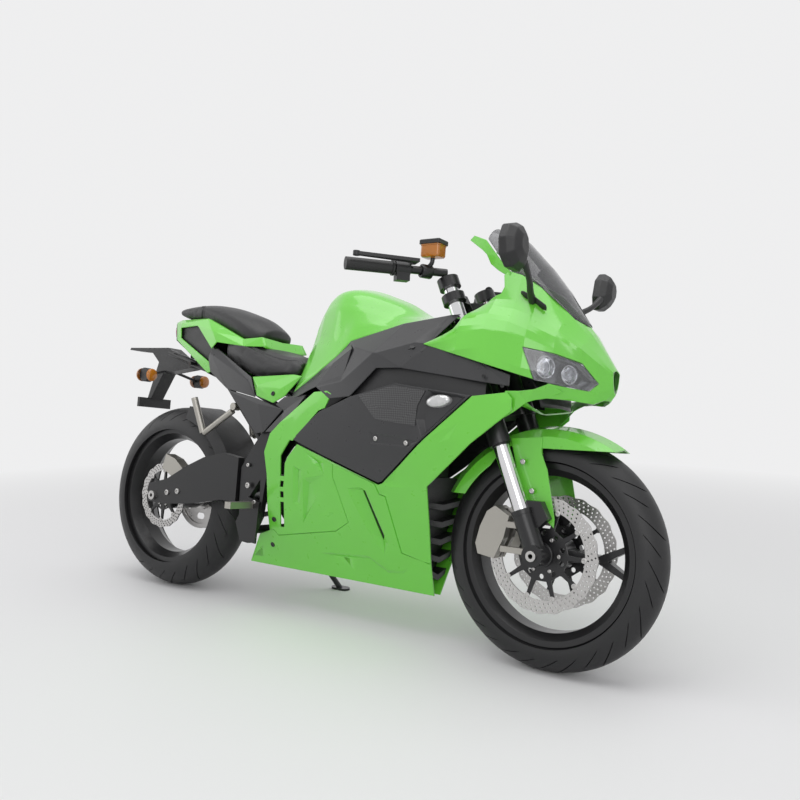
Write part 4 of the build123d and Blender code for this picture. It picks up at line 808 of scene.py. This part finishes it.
def tyre(name, centre, radius, width, body, node, pitches=30):
    """Round-crowned tyre whose curved grooves run along the lines of its own mesh."""
    crown = width / 2
    middle = radius - crown
    pitch = 2 * pi / pitches
    groove = 5.0 / radius
    cuts = []
    for number in range(pitches):
        start = number * pitch
        cuts += [(start, 0, number), (start + 0.22 * groove, 1, number),
                 (start + 0.78 * groove, 1, number), (start + groove, 0, number),
                 (start + groove + (pitch - groove) / 3, 0, number),
                 (start + groove + 2 * (pitch - groove) / 3, 0, number)]
    rows = []
    beads = [(crown * 0.995, middle - 2), (crown * 0.93, middle - 3.4),
             (crown * 0.86, 0.5 * (middle + 229)), (crown * 0.74, 230), (crown * 0.70, 226)]
    for y, r in reversed(beads):
        rows.append([(centre[0] + r * cos(angle), -y, centre[1] + r * sin(angle))
                     for angle, _, _ in cuts])
    for out in range(-88, 89, 4):       # degrees out from the crown
        tilt = radians(out)
        row = []
        for angle, depth, number in cuts:
            low, high = ((12, 66), (34, 70))[number % 2]
            if out < 0:
                low, high = ((34, 70), (12, 66))[number % 2]
            fade = min(1, max(0, (abs(out) - low) / 4)) * min(1, max(0, (high - abs(out)) / 4))
            swept = angle + 0.24 * (abs(out) / 62) ** 1.7
            size = crown - 3.6 * depth * fade
            across, rise = size * sin(tilt), middle + size * cos(tilt)
            row.append((centre[0] + rise * cos(swept), across, centre[1] + rise * sin(swept)))
        rows.append(row)
    for y, r in beads:
        rows.append([(centre[0] + r * cos(angle), y, centre[1] + r * sin(angle))
                     for angle, _, _ in cuts])
    faces = grid_faces(rows, closed=True)
    mesh = mesh_from(name, [p for row in rows for p in row], faces)
    return finish_piece(name, mesh, body, "tyre", [node], sharp=50)


tyre("front_tyre_treaded", (1400, 293), 293, 112, "front_wheel", "front_tyre")
tyre("rear_tyre_treaded", (0, 306), 306, 148, "rear_wheel", "rear_tyre", 28)


def flat_ring(name, centre, y, thickness, outer, holes, body, slot, stands_for=(),
              both_sides=False, round_edge=0.6):
    """Flat plate in a side view: closed outer line and closed holes, both as (x, z) lists."""
    flat, lines = [], []
    for line in [outer] + holes:
        first = len(flat)
        flat += [Vector(point) for point in line]
        lines += [(first + i, first + (i + 1) % len(line)) for i in range(len(line))]
    ring = list(range(len(outer)))
    found, _, cells, _, _, _ = delaunay_2d_cdt(flat, lines, [ring], 1, 0.001)
    faces = []
    for cell in cells:
        x = sum(found[i].x for i in cell) / len(cell)
        z = sum(found[i].y for i in cell) / len(cell)
        if not any(inside(x, z, hole) for hole in holes):
            faces.append(tuple(cell))
    count = len(found)
    edges = set()
    for cell in faces:
        edges |= {(cell[i], cell[(i + 1) % len(cell)]) for i in range(len(cell))}
    rim = sorted(pair for pair in edges if (pair[1], pair[0]) not in edges)
    points = [(centre[0] + p.x, -y - thickness / 2, centre[1] + p.y) for p in found]
    points += [(centre[0] + p.x, -y + thickness / 2, centre[1] + p.y) for p in found]
    faces += [tuple(i + count for i in cell[::-1]) for cell in faces]
    faces += [(b, a, a + count, b + count) for a, b in rim]
    mesh = mesh_from(name, points, faces, both_sides, weld=0.001)
    piece = finish_piece(name, mesh, body, slot, stands_for, sharp=30)
    if round_edge:
        modifier(piece, "BEVEL", width=round_edge * MM, segments=1, limit_method="ANGLE",
                 angle_limit=radians(50))
    return piece


def circle(radius, count, x=0.0, z=0.0, start=0.0):
    return [(x + a, z + b) for a, b in ring_points(radius, count, start)]


def disc_set(prefix, centre, y, radius, body, node, arms, both_sides, hub):
    """Drilled wavy ring on a dark spider with floating buttons."""
    inner = radius * 0.77
    outer = []
    for i in range(180):
        angle = 2 * pi * i / 180
        wave = radius - 1.6 + 1.6 * cos(arms * 2 * angle)
        outer.append((wave * cos(angle), wave * sin(angle)))
    holes = [circle(inner, 96)]
    for row, share in enumerate((0.22, 0.5, 0.78)):
        for i in range(arms * 6):
            angle = 2 * pi * (i + row / 3) / (arms * 6)
            size = inner + (radius - inner) * share
            holes.append(circle(2.6, 8, size * cos(angle), size * sin(angle)))
    flat_ring(prefix + "_ring", centre, y, 4.6, outer, holes, body, "steel", [node],
              both_sides, round_edge=0)
    spider = []
    for arm in range(arms):
        for turn, size in ((-0.16, 0.46), (-0.10, 0.60), (-0.07, 0.745), (0.07, 0.745),
                           (0.10, 0.60), (0.16, 0.46)):
            angle = 2 * pi * arm / arms + turn * 6 / arms
            spider.append((radius * size * cos(angle), radius * size * sin(angle)))
    openings = [circle(hub, 40)]
    for arm in range(arms):
        angle = 2 * pi * (arm + 0.5) / arms
        openings.append(circle(radius * 0.045, 12, radius * 0.37 * cos(angle),
                               radius * 0.37 * sin(angle)))
    flat_ring(prefix + "_carrier", centre, y - 3, 6, spider, openings, body, "black_metal",
              (), both_sides)
    places = []
    for arm in range(arms):
        angle = 2 * pi * arm / arms
        x, z = radius * 0.755 * cos(angle), radius * 0.755 * sin(angle)
        places.append((centre[0] + x, -y - 2.3, centre[1] + z, (0, -1, 0)))
    bolts(prefix + "_buttons", places, body, "steel", radius=7, height=2.6,
          both_sides=both_sides)
    places = [(centre[0] + radius * 0.30 * cos(2 * pi * i / 6), -y + 0.5,
               centre[1] + radius * 0.30 * sin(2 * pi * i / 6), (0, -1, 0)) for i in range(6)]
    bolts(prefix + "_hub_bolts", places, body, "steel", radius=5, height=4,
          both_sides=both_sides)


disc_set("front_disc", (1400, 293), 65, 145, "front_wheel", "front_brake_discs", 10, True, 27)
disc_set("rear_disc", (0, 306), 87, 110, "rear_wheel", "rear_brake_disc", 8, False, 29)

HUB = [(0, 30), (8, 30), (9, 27), (12, 25), (12, 17)]
for sign, label in ((-1, "right"), (1, "left")):
    lathe("front_hub_collar_" + label, HUB, (1400, sign * 66, 293), (0, sign, 0),
          "front_wheel", "black_metal")
# ---- mirrors, lamps and screen -------------------------------------------------------

MIRROR_OUTLINE = [(-36, -52), (-46, -16), (-32, 36), (-6, 58), (32, 46), (46, 12), (40, -26),
                  (8, -50)]


def mirror_heads():
    rows = []
    for x, scale, lift in ((-25, 0.93, 0), (-21, 1.0, 0), (-4, 1.0, 0), (14, 0.78, 2),
                           (25, 0.42, 4)):
        rows.append([(1385 + x, -(288 + out * scale), 1014 + lift + up * scale)
                     for out, up in MIRROR_OUTLINE])
    wide = len(MIRROR_OUTLINE)
    faces = grid_faces(rows, closed=True)
    faces += [tuple(range(wide))[::-1], tuple(range(wide * 4, wide * 5))]
    mesh = mesh_from("mirror_heads", [p for row in rows for p in row], faces, True)
    piece = finish_piece("mirror_heads", mesh, "chassis", "black_plastic", ["mirrors"],
                         sharp=20)
    modifier(piece, "BEVEL", width=3 * MM, segments=3, limit_method="ANGLE",
             angle_limit=radians(18))
    glass = [(1385 - 25.6, -(288 + out * 0.84), 1014 + up * 0.84)
             for out, up in MIRROR_OUTLINE]
    back = [(x + 2, y, z) for x, y, z in glass]
    faces = [tuple(range(wide))[::-1], tuple(range(wide, 2 * wide))]
    faces += [(i, (i + 1) % wide, wide + (i + 1) % wide, wide + i) for i in range(wide)]
    finish_piece("mirror_glasses", mesh_from("mirror_glasses", glass + back, faces, True),
                 "chassis", "chrome", sharp=20)


mirror_heads()
tube("mirror_stalks", [(1352, -116, 920), (1362, -150, 932), (1380, -200, 958),
                       (1386, -246, 990)], 7, "chassis", "black_plastic",
     taper=[11, 8.5, 7.5, 10], both_sides=True)
MIRROR_FOOT = [(1318, -117, 938), (1330, -126, 936), (1362, -126, 922), (1392, -115, 899),
               (1388, -106, 893), (1350, -110, 908)]


def mirror_feet():
    top = [(x, y - 3, z + 9) for x, y, z in MIRROR_FOOT]
    wide = len(top)
    faces = [tuple(range(wide))[::-1], tuple(range(wide, 2 * wide))]
    faces += [(i, (i + 1) % wide, wide + (i + 1) % wide, wide + i) for i in range(wide)]
    piece = finish_piece("mirror_feet", mesh_from("mirror_feet", MIRROR_FOOT + top, faces, True),
                         "chassis", "black_plastic", sharp=25)
    modifier(piece, "BEVEL", width=3 * MM, segments=2, limit_method="ANGLE",
             angle_limit=radians(25))


mirror_feet()

LENS = [(1359, -163, 796), (1428, -140, 784), (1481, -95, 766), (1511, -44, 721),
        (1492, -52, 701), (1443, -102, 708), (1416, -132, 714), (1388, -152, 718),
        (1379, -160, 749)]


def headlight_buckets():
    """Bright stepped bucket behind each lens, with ribs that fall away to the back."""
    middle = Vector((1436, -112, 744))
    rows = []
    for inward, shrink in ((5, 0.98), (14, 0.93), (15, 0.86), (30, 0.78), (31, 0.66),
                           (40, 0.55)):
        row = []
        for point in LENS:
            place = middle + (Vector(point) - middle) * shrink
            row.append(tuple(place + Vector((-0.62, 0.78, 0)) * inward))
        rows.append(row)
    wide = len(LENS)
    faces = grid_faces(rows, closed=True)
    faces.append(tuple(range(wide * 5, wide * 6)))
    mesh = mesh_from("headlight_buckets", [p for row in rows for p in row], faces, True)
    piece = finish_piece("headlight_buckets", mesh, "chassis", "headlight_grey",
                         ["headlight_unit"], sharp=20)
    modifier(piece, "SOLIDIFY", thickness=2 * MM, offset=-1)


headlight_buckets()
for sign, label in ((-1, "right"), (1, "left")):
    for number, (x, y, z, size) in enumerate(((1400, 128, 752, 24), (1446, 88, 738, 20))):
        aim = Vector((0.86, sign * 0.5, -0.03))
        bowl = [(-22, 3), (-20, size * 0.5), (-8, size * 0.85), (4, size), (7, size + 1.5),
                (7, size + 3.5), (-10, size + 2)]
        lathe("headlight_bowl_%s_%d" % (label, number), bowl, (x, sign * y, z), aim,
              "chassis", "chrome")
        ball = [(-14, 1), (-12, size * 0.6), (-4, size * 0.74), (4, size * 0.66),
                (9, size * 0.4), (11, 0.5)]
        lathe("headlight_lens_%s_%d" % (label, number), ball, (x, sign * y, z), aim,
              "chassis", "clear_lens")


def side_signals():
    rows = []
    for out, size in ((-14, 1.0), (0, 1.0), (7, 0.93), (11, 0.74), (13, 0.4)):
        rows.append([(1148 + 36 * c * size, -(flank(1148, 655) - 10) - out, 655 + 17 * s * size
                      + 0.12 * 36 * c * size) for c, s in ring_points(1, 36)])
    faces = grid_faces(rows, closed=True)
    faces.append(tuple(range(36 * 4, 36 * 5)))
    mesh = mesh_from("side_signal_lenses", [p for row in rows for p in row], faces, True)
    finish_piece("side_signal_lenses", mesh, "chassis", "signal_glass",
                 ["front_turn_signals"], sharp=40)


side_signals()
# ---- smaller pieces ------------------------------------------------------------------

BAND = {
    "a": (1322, -174, 688), "b": (1356, -168, 689), "c": (1389, -155, 695),
    "d": (1419, -136, 711), "e": (1446, -108, 694), "f": (1406, -123, 675),
    "g": (1387, -139, 670), "h": (1370, -149, 663), "i": (1343, -161, 638),
    "j": (1322, -170, 622),
}
panel("cowl_lower_band", BAND, "abcdefghij", ["bi", "ch", "df"], slot="green_paint",
      thickness=3, sharp=12)

RESERVOIR = (1078, -165, 1036)


def rounded_ring(wide, deep, corner, height, count=6):
    points = []
    for turn, (sx, sy) in enumerate(((1, 1), (-1, 1), (-1, -1), (1, -1))):
        for k in range(count):
            angle = pi / 2 * (turn + k / (count - 1))
            points.append((RESERVOIR[0] + sx * (wide / 2 - corner) + corner * cos(angle),
                           RESERVOIR[1] + sy * (deep / 2 - corner) + corner * sin(angle),
                           RESERVOIR[2] + height))
    return points


def reservoir():
    rows = [rounded_ring(*size) for size in ((40, 26, 6, -1), (54, 38, 8, 0), (58, 42, 8, 4),
                                             (58, 42, 8, 30), (60, 44, 8, 30.2),
                                             (60, 44, 8, 33.6))]
    wide = len(rows[0])
    faces = grid_faces(rows, closed=True)
    faces += [tuple(range(wide))[::-1], tuple(range(wide * 5, wide * 6))]
    mesh = mesh_from("reservoir_cup", [p for row in rows for p in row], faces)
    finish_piece("reservoir_cup", mesh, "front_end", "amber_lens", ["brake_reservoir"])
    tube("reservoir_stalk", [(1078, -165, 1036), (1076, -165, 1022), (1062, -166, 1008)], 6,
         "front_end", "black_metal")


reservoir()
lathe("reservoir_clamp", [(-15, 13), (-15, 17.5), (-13, 18.5), (13, 18.5), (15, 17.5),
                          (15, 13)], (1060, -166, 1000), (-0.5, -0.85, 0.02), "front_end",
      "black_metal")

for sign, label in ((-1, "right"), (1, "left")):
    lens = [(0, 23), (5, 22.5), (10, 19), (13, 12), (14, 0.5)]
    lathe("rear_signal_lens_" + label, lens, (-102 - 24, sign * 120, 714), (-1, 0, 0),
          "chassis", "amber_lens")
    front = [(0, 22), (4, 21), (8, 16), (9.5, 8), (10, 0.5)]
    lathe("rear_signal_front_" + label, front, (-102 + 24, sign * 120, 714), (1, 0, 0),
          "chassis", "amber_lens")

TAIL_LAMP = [
    [(-44, 0, 893), (-44, -30, 892), (-43, -56, 890)],
    [(-37, 0, 874), (-37, -34, 874), (-36, -62, 872)],
    [(-29, 0, 856), (-29, -38, 856), (-27, -66, 857)],
]
grid_piece("tail_lamp_lens", TAIL_LAMP, "chassis", "red_lens", thickness=5, steps=(3, 4))

bolts("cowl_bolts", [(1268, -188, 722, (0, -1, 0)), (1312, -170, 700, (0, -1, 0)),
                     (1040, -187, 792, (0, -0.8, 0.5))], "chassis", radius=5, height=2)
bolts("fender_bolts", [(1340, -85, 518, (0, -1, 0)), (1369, -84, 447, (0, -1, 0))],
      "front_end", "steel", radius=7, height=4)
bolts("swingarm_bolts", [(440, -132, 378, (0, -1, 0)), (120, -131, 330, (0, -1, 0)),
                         (70, -131, 322, (0, -1, 0))], "chassis", "steel", radius=9, height=5)
bolts("hanger_bolts", [(470, -128, 330, (0, -1, 0)), (430, -128, 440, (0, -1, 0))],
      "chassis", "steel", radius=6, height=4)
bolts("tail_bolts", [(60, -75, 812, (0, -1, -0.6)), (130, -92, 768, (0, -1, -0.6))],
      "chassis", radius=4.5, height=2)

# Black outer tubes over the fork legs, above the chrome.
tube("fork_sleeves", [(1284.7, -102, 552), (1144.0, -102, 868)], 22.6, "front_end",
     "black_metal", sides=24, both_sides=True)

NOSE_DUCT = [
    [(1372, 0, 734), (1370, -60, 732), (1362, -108, 724)],
    [(1390, 0, 690), (1388, -58, 690), (1378, -104, 688)],
    [(1400, 0, 660), (1396, -50, 658), (1384, -92, 656)],
]
grid_piece("nose_duct", NOSE_DUCT, "chassis", "black_plastic", thickness=3, steps=(3, 3))
# ---- stage, lights and camera --------------------------------------------------------


BACKDROP = (0.86, 0.86, 0.865)
FLOOR_COLOUR = (0.83, 0.83, 0.835)


def plain_floor():
    """Seamless studio floor: near the machine it takes shadows, further out it is the backdrop."""
    bpy.ops.mesh.primitive_circle_add(vertices=96, radius=60, fill_type="NGON")
    floor = bpy.context.object
    floor.name = "floor"
    material, tree, shader = new_material("floor")
    shader.inputs["Base Color"].default_value = (*FLOOR_COLOUR, 1)
    shader.inputs["Roughness"].default_value = 0.55
    shader.inputs["Specular IOR Level"].default_value = 0.2
    glow = add_node(tree, "ShaderNodeEmission", Color=(*BACKDROP, 1), Strength=1.0)
    light_path = tree.nodes.new("ShaderNodeLightPath")
    coords = tree.nodes.new("ShaderNodeTexCoord").outputs["Object"]
    length = add_node(tree, "ShaderNodeVectorMath", operation="LENGTH")
    tree.links.new(coords, length.inputs[0])
    far = ramp(tree, length.outputs["Value"], 1.5, 4.0, 0, 1)
    seen = tree.nodes.new("ShaderNodeMath")
    seen.operation = "MAXIMUM"
    tree.links.new(light_path.outputs["Is Camera Ray"], seen.inputs[0])
    tree.links.new(light_path.outputs["Is Glossy Ray"], seen.inputs[1])
    share = tree.nodes.new("ShaderNodeMath")
    share.operation = "MULTIPLY"
    tree.links.new(seen.outputs["Value"], share.inputs[0])
    tree.links.new(far, share.inputs[1])
    blend = tree.nodes.new("ShaderNodeMixShader")
    tree.links.new(share.outputs["Value"], blend.inputs["Fac"])
    tree.links.new(shader.outputs["BSDF"], blend.inputs[1])
    tree.links.new(glow.outputs["Emission"], blend.inputs[2])
    tree.links.new(blend.outputs["Shader"], tree.nodes["Material Output"].inputs["Surface"])
    floor.data.materials.append(material)


def sky():
    world = bpy.data.worlds.new("studio")
    bpy.context.scene.world = world
    world.use_nodes = True
    tree = world.node_tree
    background = tree.nodes["Background"]
    light_path = tree.nodes.new("ShaderNodeLightPath")
    seen = add_node(tree, "ShaderNodeMath", operation="MAXIMUM")
    tree.links.new(light_path.outputs["Is Camera Ray"], seen.inputs[0])
    tree.links.new(light_path.outputs["Is Transmission Ray"], seen.inputs[1])
    shiny = add_node(tree, "ShaderNodeMath", operation="MAXIMUM")
    tree.links.new(seen.outputs["Value"], shiny.inputs[0])
    tree.links.new(light_path.outputs["Is Glossy Ray"], shiny.inputs[1])
    shade = add_node(tree, "ShaderNodeMix", data_type="RGBA")
    shade.inputs["A"].default_value = (0.50, 0.50, 0.505, 1)
    shade.inputs["B"].default_value = (*BACKDROP, 1)
    tree.links.new(shiny.outputs["Value"], shade.inputs["Factor"])
    tree.links.new(shade.outputs["Result"], background.inputs["Color"])


def lamp(name, place, target, size, power):
    data = bpy.data.lights.new(name, "AREA")
    data.shape = "RECTANGLE"
    data.size, data.size_y = size
    data.energy = power
    lamp_object = bpy.data.objects.new(name, data)
    lamp_object.location = place
    aim = Vector(target) - Vector(place)
    lamp_object.rotation_euler = aim.to_track_quat("-Z", "Y").to_euler()
    bpy.context.collection.objects.link(lamp_object)


def studio_camera():
    data = bpy.data.cameras.new("camera")
    data.sensor_width = 36
    data.lens = 37.1
    camera = bpy.data.objects.new("camera", data)
    yaw, pitch = radians(124.77), radians(-3.08)
    camera.location = (origin.x + 2.2602, origin.y - 1.8833, 0.7909)
    view = Vector((cos(yaw) * cos(pitch), sin(yaw) * cos(pitch), sin(pitch)))
    camera.rotation_euler = view.to_track_quat("-Z", "Y").to_euler()
    bpy.context.collection.objects.link(camera)
    bpy.context.scene.camera = camera


plain_floor()
sky()
lamp("overhead", (0.3, -0.4, 3.6), (0, 0, 0.5), (4.0, 3.0), 66)
lamp("camera side", (2.6, -3.4, 2.2), (0.2, 0, 0.6), (2.5, 2.0), 34)
lamp("rear fill", (-3.2, -1.5, 1.8), (0, 0, 0.6), (2.0, 2.0), 12)
studio_camera()
bpy.context.scene.view_settings.view_transform = "Standard"
